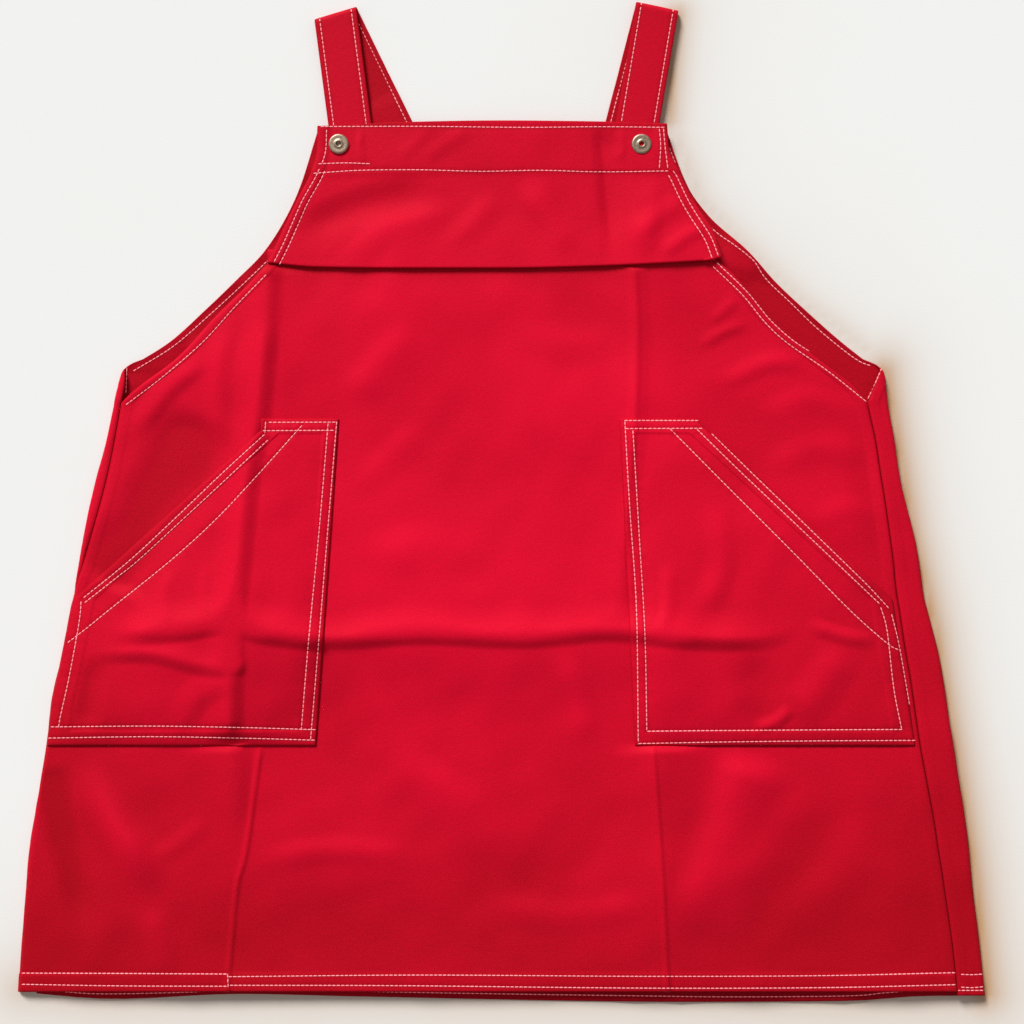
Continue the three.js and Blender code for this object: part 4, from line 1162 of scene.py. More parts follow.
@dataclass
class FrontPanel(Panel):
    """The bib with its turned band and its storage tuck, and the front of the skirt."""

    def rows(self) -> list[ClothRow]:
        """All rows from the bib's top edge to the hem."""
        radius, tuck = CUT.tuck_radius, CUT.tuck_y
        below = tuck - 0.1
        bend, inner = tuck + radius, tuck + radius + CUT.tuck_depth
        bib = stations([(0, -2.4, 3), (-2.4, -36, 11), (-36, -41, 4), (-41, tuck + 3, 24),
            (tuck + 3, bend, 2)])
        rows = [ClothRow(y, y, 0, 0) for y in bib[:-1]]
        for angle in np.linspace(0, math.pi, 9):
            lift = CUT.tuck_step - radius * (1 - math.cos(angle))
            rows.append(ClothRow(bend - radius * math.sin(angle), below, lift, 0.35 * angle / math.pi))
        rows.append(ClothRow(bend + CUT.tuck_depth / 2, below, 2 * radius, 0.5))
        for angle in np.linspace(0, math.pi, 6):
            lift = radius * (1 + math.cos(angle))
            rows.append(ClothRow(inner + radius * math.sin(angle), below, lift,
                0.65 + 0.35 * angle / math.pi))
        rows += [ClothRow(y, below, 0, 1) for y in np.linspace(inner, tuck - 1, 5)[1:]]
        skirt = stations([(tuck - 1, CUT.underarm_y, 37), *SKIRT_SPANS])
        return rows + [ClothRow(y, y, 0, 1) for y in skirt[1:]]

    def columns(self, row: ClothRow) -> Array:
        """The places of a row's points, from the left edge to the right."""
        y = row.section
        start, end = self.lay.front_edges(y)
        stops = [start + 12, -CUT.quarter, 0, CUT.quarter]
        steps = [9, 2, 3, 4, 31]
        for line in (LEFT_CREASE_LINE, RIGHT_CREASE_LINE):
            place = float(self.lay.on_top(line(-y / 737.0) * CUT.hem_width / 2, y))
            stops += [place - CREASE_RAIL, place, place + CREASE_RAIL]
        steps += [9, 9, 54, 9, 9, 24, 9]
        stops.append(end - 12)
        return columns_through(start, stops, end, steps, 0.9)

    def height(self, x: Array, y: Array, blend: Array) -> Array:
        """The relief at points: the bib's, the skirt's, or part of each through the tuck."""
        tuck = CUT.tuck_y
        skirt = self.lay.draped(x, np.minimum(y, tuck - 0.1), (Place.SKIRT,))
        bib = self.lay.draped(x, np.maximum(y, tuck), (Place.BAND, Place.BIB))
        settle = ease((tuck + 45 - y) / 45)
        return between(between(bib, np.maximum(bib, skirt), settle), skirt, blend)

    def build(self) -> bpy.types.Object:
        """Makes the front panel."""
        rows = self.rows()
        place = np.array([self.columns(row) for row in rows])
        y, section, lift, blend = (np.array(column)[:, None] for column in zip(*rows))
        x = self.lay.point(place, section)[0]
        wide_y = y + np.zeros_like(x)
        inside = np.minimum(place - place[:, :1], place[:, -1:] - place)
        free = ease((y - CUT.underarm_y + 2) / 4)
        edge = self.edge_relief(inside, free)
        edge += np.where(y > CUT.tuck_y, hem_shape(-y, 40.4, ()), 0) + hem_shape(y - CUT.hem_y, 14.8, ())
        shift = sway(x, np.minimum(section, wide_y))
        sewn, painted_shade = sewn_relief(x, wide_y + shift, "front")
        # Painted shadow on the cloth just below the tuck's edge.
        tuck_painted_shadow = np.exp(-np.maximum(CUT.tuck_y - y, 0) / 5) * (blend >= 1)
        painted_shade = np.maximum(painted_shade, 2.6 * tuck_painted_shadow)
        height = self.height(x, wide_y, blend) + sewn
        points = self.raised(place, section, y, lift, height, edge, -shift)
        across_edge = np.where(y > CUT.tuck_y, -y, y - CUT.hem_y)
        middle = self.lay.on_top(0.0, section)
        flat = np.stack([place - middle, cloth_lengths(rows)[:, None] + np.zeros_like(x)], axis=-1)
        bib_rise, skirt_rise = self.lay.rise(x, wide_y, (Place.BAND, Place.BIB)), self.lay.rise(x,
            wide_y, (Place.SKIRT,))
        rise = between(bib_rise, skirt_rise, blend)
        edge = np.minimum(inside, across_edge)
        return Sheet("nylon_front_panel", points, flat, edge, painted_shade, rise).build(self.origin_y)


@dataclass
class BackPanel(Panel):
    """The back, flat on the floor, with both its sides turned up round the side folds."""

    def edges(self, y: float) -> tuple[float, float]:
        """The back's edges at a height, as places on the loop: the right one first."""
        lay = self.lay
        corner_y = CUT.underarm_y + CUT.back_corner_rise
        half = float(lay.half(y))
        if y > corner_y:
            down = (-CUT.back_setback - y) / (-CUT.back_setback - corner_y)
            bib, corner = lay.bib_edges(0.0), lay.folds(corner_y)
            reach = (corner[0] + CUT.fold_radius, corner[1] - CUT.fold_radius)
            left, right = (
                between(top, foot, lay.back[side](down)) for top, foot,
                    side in zip(bib, reach, ("left", "right"))
            )
            return float(lay.underneath(right, y)), float(lay.underneath(left, y))
        if y > CUT.underarm_y:
            down = (corner_y - y) / (corner_y - CUT.underarm_y)
            under = lay.seams(CUT.underarm_y)
            wraps = (float(under[0]), float(lay.half(CUT.underarm_y) - under[1]))
            left, right = (
                float(share * (CUT.quarter if share < 0 else wrap))
                for share, wrap in zip((lay.turn["left"](down), lay.turn["right"](down)), wraps)
            )
            return half - right, 2 * half + left
        left, right = lay.seams(y)
        return float(right) + CUT.seam_gap / 2, 2 * half + float(left) - CUT.seam_gap / 2

    def columns(self, y: float) -> Array:
        """The places of a row's points, from the right seam underneath to the left."""
        start, end = self.edges(y)
        half = float(self.lay.half(y))
        turn = CUT.quarter
        stops = [start + 10, half - turn, half, half + turn, 2 * half - turn, 2 * half, 2 * half + turn,
            end - 10]
        return columns_through(start, stops, end, [8, 8, 3, 3, 40, 3, 3, 3, 8], 0.9)

    def build(self) -> bpy.types.Object:
        """Makes the back panel."""
        corner_y = CUT.underarm_y + CUT.back_corner_rise
        heights = stations([(-CUT.back_setback, -12.0, 4), (-12.0, corner_y, 62),
            (corner_y, CUT.underarm_y, 24),
                            *SKIRT_SPANS])
        place = np.array([self.columns(y) for y in heights])
        y = heights[:, None]
        x, _, _, nz = self.lay.point(place, y)
        wide_y = y + np.zeros_like(x)
        inside = np.minimum(place - place[:, :1], place[:, -1:] - place)
        free = ease((y - CUT.underarm_y + 2) / 4)
        under = ease(-nz)
        soft = self.lay.relief.soft(x * 2.4 + 40, wide_y * 2.4)
        curl = 0.9 * np.exp(-inside / 6) * free + np.clip(1.1 * soft + 0.5, 0, 2.6)
        edge = self.edge_relief(inside, free) * (1 - under)
        sewn, painted_shade = sewn_relief(x, wide_y, "back")
        height = self.lay.draped(x, np.minimum(wide_y, CUT.tuck_y - 0.1), (Place.SKIRT,)) + sewn
        hang = unit((CUT.hem_y + CUT.hem_depth - y) / CUT.hem_depth)
        drop = CUT.back_hem_drop * self.lay.drop(0.5 + x / CUT.hem_width) * hang
        points = self.raised(place, y, y, under * curl, height, edge, drop)
        flat = np.stack([place - 1.5 * self.lay.half(y), wide_y - drop], axis=-1)
        across_edge = np.minimum(-CUT.back_setback - y, y - CUT.hem_y)
        return Sheet("nylon_back_panel", points, flat, np.minimum(inside, across_edge),
            painted_shade).build(self.origin_y)


@dataclass
class Pocket:
    """A large patch pocket with a slanted mouth."""

    lay: Lay
    origin_y: float
    side: str
    hand: int
    inner_top: float
    inner_foot: float
    mouth_start: float
    drop: float = 13.5
    tall: float = 278.0
    top_width: float = 66.0
    mouth_drop: float = 154.0
    seat: float = 0.45
    puff_height: float = 5.4
    puff_run: float = 45.0
    margin: float = 4.5

    def __post_init__(self) -> None:
        """Works out the pocket's heights and where its mouth ends."""
        self.top_y = CUT.underarm_y - self.drop
        self.foot_y = self.top_y - self.tall
        self.mouth_end_y = self.top_y - self.mouth_drop
        end = self.side_edge(self.mouth_end_y)
        self.mouth_end_x = float(self.lay.point(end, self.mouth_end_y)[0])

    def inner_edge(self, y: Array) -> Array:
        """The sewn edge nearer the centre line."""
        inset = between(self.inner_top, self.inner_foot, (self.top_y - y) / self.tall)
        return self.hand * inset * CUT.hem_width / 2

    def side_edge(self, y: Array) -> Array:
        """The sewn edge below the mouth, as a place on the loop."""
        return CUT.quarter / 2 + 0 * np.asarray(y) if self.hand < 0 else self.lay.seams(y)[1] - self.margin

    def outer_edge(self, y: Array) -> Array:
        """The outer edge, mouth and side, as a place on the loop."""
        start_y = self.top_y - self.mouth_start * self.mouth_drop
        start_x = self.inner_edge(self.top_y) + self.hand * self.top_width
        slant = between(start_x, self.mouth_end_x, unit((start_y - y) / (start_y - self.mouth_end_y)))
        return np.where(y <= self.mouth_end_y, self.side_edge(y), self.lay.on_top(slant, y))

    def puff(self, x: Array, y: Array) -> Array:
        """How far the cloth stands off the front: nothing at the sewn edges."""
        side = np.where(y > self.mouth_end_y, self.mouth_end_x, self.lay.point(self.side_edge(y), y)[0])
        distances = (
            np.abs(x - self.inner_edge(y)),
            self.top_y - y,
            y - self.foot_y,
            np.hypot(x - side, np.maximum(0, y - self.mouth_end_y)),
        )
        height = np.full(np.shape(x), self.puff_height)
        for distance in distances:
            height = height * swell(distance / self.puff_run)
        return height

    def build(self) -> bpy.types.Object:
        """Makes the pocket's cloth."""
        heights = stations([(self.top_y, self.top_y - 14, 13), (self.top_y - 14, self.foot_y + 18, 160),
                            (self.foot_y + 18, self.foot_y, 17)])
        y = heights[:, None]
        edges = np.stack([self.outer_edge(heights), self.lay.on_top(self.inner_edge(heights), heights)],
            axis=1)
        if self.hand > 0:
            edges = edges[:, ::-1]
        place = np.array([
            columns_through(start, [start + 16, end - 16], end, [15, 150, 15], 0.2) for start, end in edges
        ])
        x, z, nx, nz = self.lay.point(place, y)
        wide_y = y + np.zeros_like(x)
        from_start, from_end = place - place[:, :1], place[:, -1:] - place
        outer, inner = (from_start, from_end) if self.hand < 0 else (from_end, from_start)
        puff = self.puff(x, wide_y)
        mask = ease((nz + 0.2) / 0.7)
        base = mask * self.lay.hung(x, wide_y, (Place.SKIRT,))
        own = sum(self.lay.relief.fold(x, wide_y, fold) for fold in FOLDS if fold.place is Place.POCKET)
        own = own * unit(puff / 2.5)
        hem = self.hem(outer * 0.7, inner, self.top_y - y, y - self.foot_y)
        sewn, painted_shade = sewn_relief(x, wide_y, f"{self.side} pocket")
        folds = pressed(base + np.maximum(own, -puff))
        out = folds + puff + self.seat + 0.5 + np.maximum(hem + sewn, -0.4)
        points = np.stack([x + nx * out, wide_y, z + nz * out], axis=-1)
        flat = np.stack([place - self.lay.on_top(0.0, y), wide_y], axis=-1)
        edge = np.minimum(np.minimum(outer * 0.7, inner), np.minimum(self.top_y - y, y - self.foot_y))
        rise = self.lay.rise(x, wide_y, (Place.SKIRT, Place.POCKET))
        return Sheet(f"nylon_pocket_{self.side}", points, flat, edge, painted_shade, rise).build(self.origin_y)

    def hem(self, outer: Array, inner: Array, top: Array, foot: Array) -> Array:
        """The low relief of the pocket's turned edges."""
        nearest = np.minimum(np.minimum(outer, inner), np.minimum(top, foot))
        turned = 0.65 * (1 - ease((nearest - 11.5) / 1.8))
        return turned - 0.7 * np.exp(-nearest / 0.8)


class StrapRow(NamedTuple):
    """A cross line of a strap: its place along it, how far it is raised, and its turn with the fold."""

    length: float
    lift: float
    skew: float


@dataclass
class Strap:
    """A shoulder strap that comes up from behind the band and folds over to the back."""

    origin_y: float
    side: str
    foot: float
    rise: float
    lean: float
    fold: float
    button: float
    width: float = 36.0
    thickness: float = 1.7
    end: float = 34.0
    most_rise: float = 101.6
    fold_radius: float = 2.5
    climb_run: float = 14.0
    button_drop: float = 16.0
    row_inset: float = 4.2

    def __post_init__(self) -> None:
        """Works out the strap's directions and where it folds."""
        lean, fold = math.radians(self.lean), math.radians(self.fold)
        self.foot_x = self.foot * CUT.bib_top_width / 2
        self.along = np.array([math.sin(lean), math.cos(lean)])
        self.sideways = np.array([-self.along[1], self.along[0]])
        self.fold_line = np.array([math.cos(fold), math.sin(fold)])
        self.beyond = np.array([-self.fold_line[1], self.fold_line[0]])
        self.origin = (
            np.array([self.foot_x, 0])
            + self.along * self.rise * self.most_rise / self.along[1]
            - self.beyond * (self.fold_radius + 1.0)
        )
        self.top_z = 1.0 + 2 * self.fold_radius
        self.fold_length = math.pi * self.fold_radius / (self.along @ self.beyond)

    def button_place(self) -> tuple[float, float]:
        """Where the button's pin goes through."""
        centre = self.foot_x - self.button_drop * self.along[0] / self.along[1]
        return centre + self.button * self.width / 2, -self.button_drop

    def back_length(self, y: float) -> float:
        """Length past the fold's start at which the back layer's centre line is this high."""
        slope = 2 * (self.along @ self.fold_line) * self.fold_line[1] - self.along[1]
        return self.fold_length + (y - self.origin[1]) / slope

    def rows(self) -> list[StrapRow]:
        """The strap's cross lines: square at its ends, along the fold where it turns over."""
        sink = 5.7 - self.top_z
        settled = (self.width / 8 - self.origin[1]) / self.along[1]
        seat_y, climb = self.width / 2 - CUT.back_setback, 1.3
        front = [StrapRow(place * settled, place * sink, skew) for place, skew in
                 ((1, 0), (0.7, 0.3), (0.4, 1), (0.15, 1), (0, 1))]
        back = [StrapRow(self.back_length(place * self.origin[1]), 0, skew) for place, skew in
                ((0.75, 1), (0.5, 0.3))]
        return [
            StrapRow((-self.end - self.origin[1]) / self.along[1], sink, 0),
            *front,
            StrapRow(self.fold_length, 0, 1),
            *back,
            StrapRow(self.back_length(seat_y + self.climb_run), 0, 0),
            StrapRow(self.back_length(seat_y), climb, 0),
            StrapRow(self.back_length(-self.end), climb, 0),
        ]

    def spots(self, length: Array, across: Array, raised: Array | float) -> tuple[Array, Array]:
        """Points of the strap and its outward directions.

        Args:
            length: Lengths past the fold's start.
            across: Places across the strap.
            raised: How far off its middle layer.

        Returns:
            The points and the directions, in the lay.
        """
        length, across = np.broadcast_arrays(np.asarray(length, float), np.asarray(across, float))
        rows = self.rows()
        lengths = [row.length for row in rows]
        lift = Course(lengths, [row.lift for row in rows])(length)
        skew = np.interp(length, lengths, [row.skew for row in rows])
        slip = (self.sideways @ self.beyond) / (self.along @ self.beyond) * across * skew
        flat = (length - slip)[..., None] * self.along + across[..., None] * self.sideways
        past = flat @ self.beyond
        half = math.pi * self.fold_radius
        angle = np.clip(past / self.fold_radius, 0, math.pi)
        reach = np.select([past < 0, past > half], [past, half - past], self.fold_radius * np.sin(angle))
        place = self.origin + (flat @ self.fold_line)[..., None] * self.fold_line + reach[...,
            None] * self.beyond
        out = np.concatenate([np.sin(angle)[..., None] * self.beyond, np.cos(angle)[..., None]], axis=-1)
        z = self.top_z - self.fold_radius * (1 - np.cos(angle)) + lift
        middle = np.concatenate([place, z[..., None]], axis=-1)
        return middle + out * np.asarray(raised)[..., None], out

    def build(self) -> bpy.types.Object:
        """Makes the strap's cloth."""
        rows = self.rows()
        fold_steps = 16
        lengths = stations([
            (low.length, high.length, fold_steps if low.length == 0 else max(2,
                int((high.length - low.length) / 2.2)))
            for low, high in zip(rows[:-1], rows[1:])
        ])
        across = stations([(0.5, 0.47, 2), (0.47, 0.34, 4), (0.34, -0.34, 12), (-0.34, -0.47, 4),
            (-0.47, -0.5, 2)])
        across = across * self.width
        edge = self.width / 2 - np.abs(across)
        crown = 0.12 * (1 - (2 * across / self.width) ** 2) - 0.22 * bell(edge - self.row_inset, 1.1)
        crown = crown - 0.3 * np.exp(-edge / 0.5)
        pucker = 0.1 * ripple(lengths[:, None], self.foot + 2) * bell(edge - self.row_inset, 5)
        points, _ = self.spots(lengths[:, None], across[None, :], crown + pucker)
        points[..., 2] = np.maximum(points[..., 2], self.thickness / 2 + 0.35)
        flat = np.stack(np.broadcast_arrays(across[None, :], lengths[:, None]), axis=-1)
        # Painted shade along the strap's stitch rows; its edge distances set the painted shade at its edges.
        groove = bell(edge - self.row_inset, 2.0)
        sheet = Sheet(f"nylon_strap_{self.side}", points, flat, edge[None, :], groove[None, :])
        sheet.thickness = self.thickness
        return sheet.build(self.origin_y)

    def sew(self, stitching: Stitching) -> None:
        """Sews a row along each edge, seen on both of the strap's faces."""
        rows = self.rows()
        lengths = np.arange(rows[0].length + 3, rows[-1].length - 3, STITCH_PITCH)
        for across in (self.width / 2 - self.row_inset, self.row_inset - self.width / 2):
            for face in (1, -1):
                places, out = self.spots(lengths, across, face * (self.thickness / 2 - 0.1) + 0 * lengths)
                stitching.sew(drawn_in(places), out * face)


# Buttons

BUTTON_PROFILE = (
    (0.0, 0.1), (0.15, 0.1), (0.19, 0.2), (0.21, 0.62), (0.23, 0.8), (0.27, 0.93), (0.32, 0.97), (0.37, 0.93),
    (0.42, 0.82), (0.47, 0.75), (0.54, 0.73), (0.64, 0.74), (0.74, 0.76), (0.83, 0.77), (0.89, 0.75),
        (0.93, 0.7),
    (0.965, 0.62), (0.99, 0.5), (1.0, 0.36), (0.99, 0.2), (0.96, 0.06), (0.92, 0.0), (0.2, 0.0),
)


@dataclass
class Button:
    """A tack button's cap: a flat rim and a raised ring round a dimple."""

    side: str
    place: tuple[float, float]
    origin_y: float
    base: float
    radius: float = 8.5
    height: float = 3.0
    facets: int = 96

    def build(self) -> bpy.types.Object:
        """Turns the cap from its profile."""
        bm = bmesh.new()
        scale_r, scale_h = self.radius * MM, self.height * MM
        verts = [bm.verts.new((r * scale_r, 0, self.base * MM + h * scale_h)) for r, h in BUTTON_PROFILE]
        edges = [bm.edges.new(pair) for pair in zip(verts[:-1], verts[1:])]
        bmesh.ops.spin(bm, geom=[*verts, *edges], cent=(0, 0, 0), axis=(0, 0, 1), angle=math.tau,
                       steps=self.facets, use_merge=True)
        bmesh.ops.remove_doubles(bm, verts=bm.verts, dist=1e-6)
        bmesh.ops.recalc_face_normals(bm, faces=bm.faces)
        x, y, _ = drawn_in(np.array([*self.place, self.base]))
        bmesh.ops.translate(bm, vec=(x * MM, y * MM + self.origin_y, 0), verts=bm.verts)
        for face in bm.faces:
            face.smooth = True
        return link_mesh(f"button_{self.side}_cap", bm)


# Finishes


class Wire:
    """A number in a shader that can be reckoned with."""

    def __init__(self, graph: "Graph", socket: bpy.types.NodeSocket) -> None:
        """Keeps the socket that gives the number."""
        self.graph, self.socket = graph, socket

    def reckon(self, operation: str, other: "Wire | float", reverse: bool = False) -> "Wire":
        """Joins this number with another by a Math node."""
        pair = (other, self) if reverse else (self, other)
        node = self.graph.node("ShaderNodeMath", operation=operation)
        for slot_in, value in zip(node.inputs, pair):
            self.graph.give(slot_in, value)
        return Wire(self.graph, node.outputs[0])

    def __add__(self, other: "Wire | float") -> "Wire":
        """The sum."""
        return self.reckon("ADD", other)

    def __radd__(self, other: float) -> "Wire":
        """The sum, from the right."""
        return self.reckon("ADD", other, True)

    def __sub__(self, other: "Wire | float") -> "Wire":
        """The difference."""
        return self.reckon("SUBTRACT", other)

    def __rsub__(self, other: float) -> "Wire":
        """The difference, from the right."""
        return self.reckon("SUBTRACT", other, True)

    def __mul__(self, other: "Wire | float") -> "Wire":
        """The product."""
        return self.reckon("MULTIPLY", other)

    def __rmul__(self, other: float) -> "Wire":
        """The product, from the right."""
        return self.reckon("MULTIPLY", other, True)

    def clamped(self) -> "Wire":
        """The number, kept between 0 and 1."""
        held = self.reckon("ADD", 0.0)
        held.socket.node.use_clamp = True
        return held

    def sine(self) -> "Wire":
        """The sine of the number."""
        return self.reckon("SINE", 0.0)


class Graph:
    """A material's nodes, made one by one."""

    def __init__(self, name: str) -> None:
        """Starts a material with a plain surface."""
        self.material = bpy.data.materials.new(name)
        self.material.use_nodes = True
        self.tree = self.material.node_tree
        self.tree.nodes.clear()
        self.surface = self.node("ShaderNodeBsdfPrincipled")
        output = self.node("ShaderNodeOutputMaterial")
        self.tree.links.new(self.surface.outputs[0], output.inputs["Surface"])

    def node(self, kind: str, **settings: object) -> bpy.types.Node:
        """Makes a node of a kind with its settings."""
        made = self.tree.nodes.new(kind)
        for key, value in settings.items():
            setattr(made, key, value)
        return made

    def give(self, socket: bpy.types.NodeSocket, value: object) -> None:
        """Sets a socket to a value, or joins it to one."""
        if isinstance(value, Wire):
            self.tree.links.new(value.socket, socket)
        elif isinstance(value, bpy.types.NodeSocket):
            self.tree.links.new(value, socket)
        else:
            socket.default_value = value

    def fill(self, node: bpy.types.Node, **values: object) -> bpy.types.Node:
        """Gives a node's sockets their values by name, with _ for a space."""
        for key, value in values.items():
            self.give(node.inputs[key.replace("_", " ")], value)
        return node

    def split(self, vector: bpy.types.NodeSocket) -> tuple[Wire, Wire, Wire]:
        """The three numbers of a vector."""
        node = self.fill(self.node("ShaderNodeSeparateXYZ"), Vector=vector)
        return tuple(Wire(self, socket) for socket in node.outputs)

    def attribute(self, name: str) -> Wire:
        """A number that the mesh carries."""
        return Wire(self, self.node("ShaderNodeAttribute", attribute_name=name).outputs["Fac"])

    def noise(self, vector: bpy.types.NodeSocket, scale: float, detail: float = 2.0, rough: float = 0.5,
              distortion: float = 0.0) -> Wire:
        """Noise around 0, from about -0.5 to 0.5."""
        node = self.node("ShaderNodeTexNoise")
        self.fill(node, Vector=vector, Scale=scale, Detail=detail, Roughness=rough, Distortion=distortion)
        return Wire(self, node.outputs[0]) - 0.5

    def blend(self, share: Wire | float, low: Sequence[float] | bpy.types.NodeSocket,
              high: Sequence[float]) -> bpy.types.NodeSocket:
        """A colour between two others."""
        node = self.node("ShaderNodeMix", data_type="RGBA", clamp_factor=True)
        by_name = {socket.identifier: socket for socket in node.inputs}
        self.give(by_name["Factor_Float"], share)
        self.give(by_name["A_Color"], low if isinstance(low, bpy.types.NodeSocket) else (*low, 1.0))
        self.give(by_name["B_Color"], (*high, 1.0))
        return next(socket for socket in node.outputs if socket.identifier == "Result_Color")

    def bump(self, height: Wire, distance: float) -> None:
        """Roughens the surface by a height, where 1 stands for the distance in metres."""
        node = self.fill(self.node("ShaderNodeBump"), Height=height, Distance=distance, Strength=1.0)
        self.give(self.surface.inputs["Normal"], node.outputs[0])


@dataclass(frozen=True)
class Nylon:
    """Red woven nylon, a little worn and dull, with painted shade where it lies low, by its edges and stitches
    and in its valleys, painted light on its fold crests, and painted glints.
    """

    # deep and bright bound the cloth's tone, which holds its random grain as well as its painted shade and
    # light; glint is the colour of its painted glints.
    deep: tuple[float, float, float] = (0.385, 0.001, 0.007)
    bright: tuple[float, float, float] = (0.885, 0.0015, 0.034)
    glint: tuple[float, float, float] = (0.95, 0.026, 0.07)
    roughness: float = 0.62
    sheen: float = 0.02

    def make(self) -> bpy.types.Material:
        """Makes the cloth's material, with its weave along the cloth's own threads."""
        graph = Graph("red_nylon")
        cloth = graph.node("ShaderNodeUVMap", uv_map="cloth").outputs[0]
        u, v, _ = graph.split(cloth)
        x, y, z = graph.split(graph.node("ShaderNodeTexCoord").outputs["Object"])
        thread = math.tau / 0.00062
        weave = ((u + v) * thread).sine() * 0.5 + ((u - v) * thread).sine() * 0.5
        grain = graph.noise(cloth, 980.0, 2.0, 0.65)
        mottle = graph.noise(cloth, 260.0, 2.0, 0.6)
        cloud = graph.noise(cloth, 11.0, 3.0)
        # Painted shade: darker where the cloth lies low near the floor, by its edges, along its stitch rows,
        # and in the painted shadow below the tuck that the sewn mask also carries.
        low = 1.0 - (z * 170.0 - 0.1).clamped()
        rim = 1.0 - (graph.attribute("edge") * 0.55).clamped()
        shade = rim * 0.34 + graph.attribute("sewn") * 0.24 + low * 0.42
        # Painted shade: darker towards the bottom, at the top end and away from the middle.
        away_x, away_y = x + 0.03, y - 0.02
        painted_corner_shade = (away_x * away_x + away_y * away_y) * 1.55
        far = (y * -3.3 - 0.25).clamped() * 0.16 + (y * 8.0 - 1.6).clamped() * 0.05 + painted_corner_shade
        # Painted light and shade: lighter on the soft folds' crests and darker in their valleys.
        painted_fold_light = graph.attribute("rise") * 0.17
        tone = grain * 1.0 + mottle * 0.2 + cloud * 0.16 + weave * 0.04 + painted_fold_light - shade - far + 0.6
        # Painted glints: fine paler speckles standing for small highlights on the fibres.
        glints = graph.noise(cloth, 1200.0, 1.0) * 0.5 + 0.06
        colour = graph.blend(glints, graph.blend(tone, self.deep, self.bright), self.glint)
        graph.fill(graph.surface, Base_Color=colour, Roughness=self.roughness,
                   Sheen_Weight=self.sheen, Sheen_Roughness=0.4, Specular_IOR_Level=0.05)
        graph.surface.inputs["Sheen Tint"].default_value = (1.0, 0.3, 0.35, 1.0)
        graph.bump(grain * 0.11 + mottle * 0.16 + cloud * 0.5 + weave * 0.015, 0.001)
        return graph.material


@dataclass(frozen=True)
class Thread:
    """Pale pink sewing thread, with faint red light painted on by emission for the light that the red cloth
    throws on it.
    """

    low: tuple[float, float, float] = (1.0, 0.29, 0.35)
    high: tuple[float, float, float] = (1.0, 0.5, 0.55)
    painted_light: tuple[float, float, float] = (1.0, 0.06, 0.08)
    painted_light_strength: float = 0.2

    def make(self) -> bpy.types.Material:
        """Makes the thread's material."""
        graph = Graph("pink_thread")
        place = graph.node("ShaderNodeTexCoord").outputs["Object"]
        tone = graph.noise(place, 700.0, 1.0) * 1.2 + 0.5
        # The emission is painted light: a faint red brightening for the light thrown up by the cloth.
        graph.fill(graph.surface, Base_Color=graph.blend(tone, self.low, self.high), Roughness=0.6,
                   Specular_IOR_Level=0.3, Emission_Color=(*self.painted_light, 1.0),
                       Emission_Strength=self.painted_light_strength)
        return graph.material


@dataclass(frozen=True)
class Metal:
    """A metal with two tones, mottled at random."""

    name: str
    dark: tuple[float, float, float]
    light: tuple[float, float, float]
    roughness: float

    def make(self) -> bpy.types.Material:
        """Makes the metal's material."""
        graph = Graph(self.name)
        place = graph.node("ShaderNodeTexCoord").outputs["Object"]
        mottle = graph.noise(place, 900.0, 3.0, 0.6)
        tone = mottle * 1.1 + 0.5
        graph.fill(graph.surface, Base_Color=graph.blend(tone, self.dark, self.light), Metallic=1.0,
                   Roughness=mottle * 0.25 + self.roughness)
        graph.bump(mottle, 0.00004)
        return graph.material


@dataclass(frozen=True)
class Floor:
    """The pale floor below."""

    warm_shadow_tone: tuple[float, float, float] = (0.55, 0.33, 0.17)
    pale: tuple[float, float, float] = (0.885, 0.885, 0.87)

    def make(self) -> bpy.types.Material:
        """Makes the floor's material."""
        graph = Graph("pale_floor")
        place = graph.node("ShaderNodeTexCoord").outputs["Object"]
        x, y, _ = graph.split(place)
        grain = graph.noise(place, 700.0, 2.0, 0.6)
        patches = graph.noise(place, 7.0, 3.0)
        # Darker and warmer towards the lower right corner.
        corner = (x - y - 0.55).clamped() * 0.3
        # Painted shadow: the floor is darkened and turned warmer beside the apron's outline.
        tone = graph.attribute("painted_light") + corner + grain * 0.05 + patches * 0.05
        graph.fill(graph.surface, Base_Color=graph.blend(tone, self.pale, self.warm_shadow_tone), Roughness=0.9,
                   Specular_IOR_Level=0.05)
        graph.bump(grain, 0.00008)
        return graph.material


# The whole apron and its setting


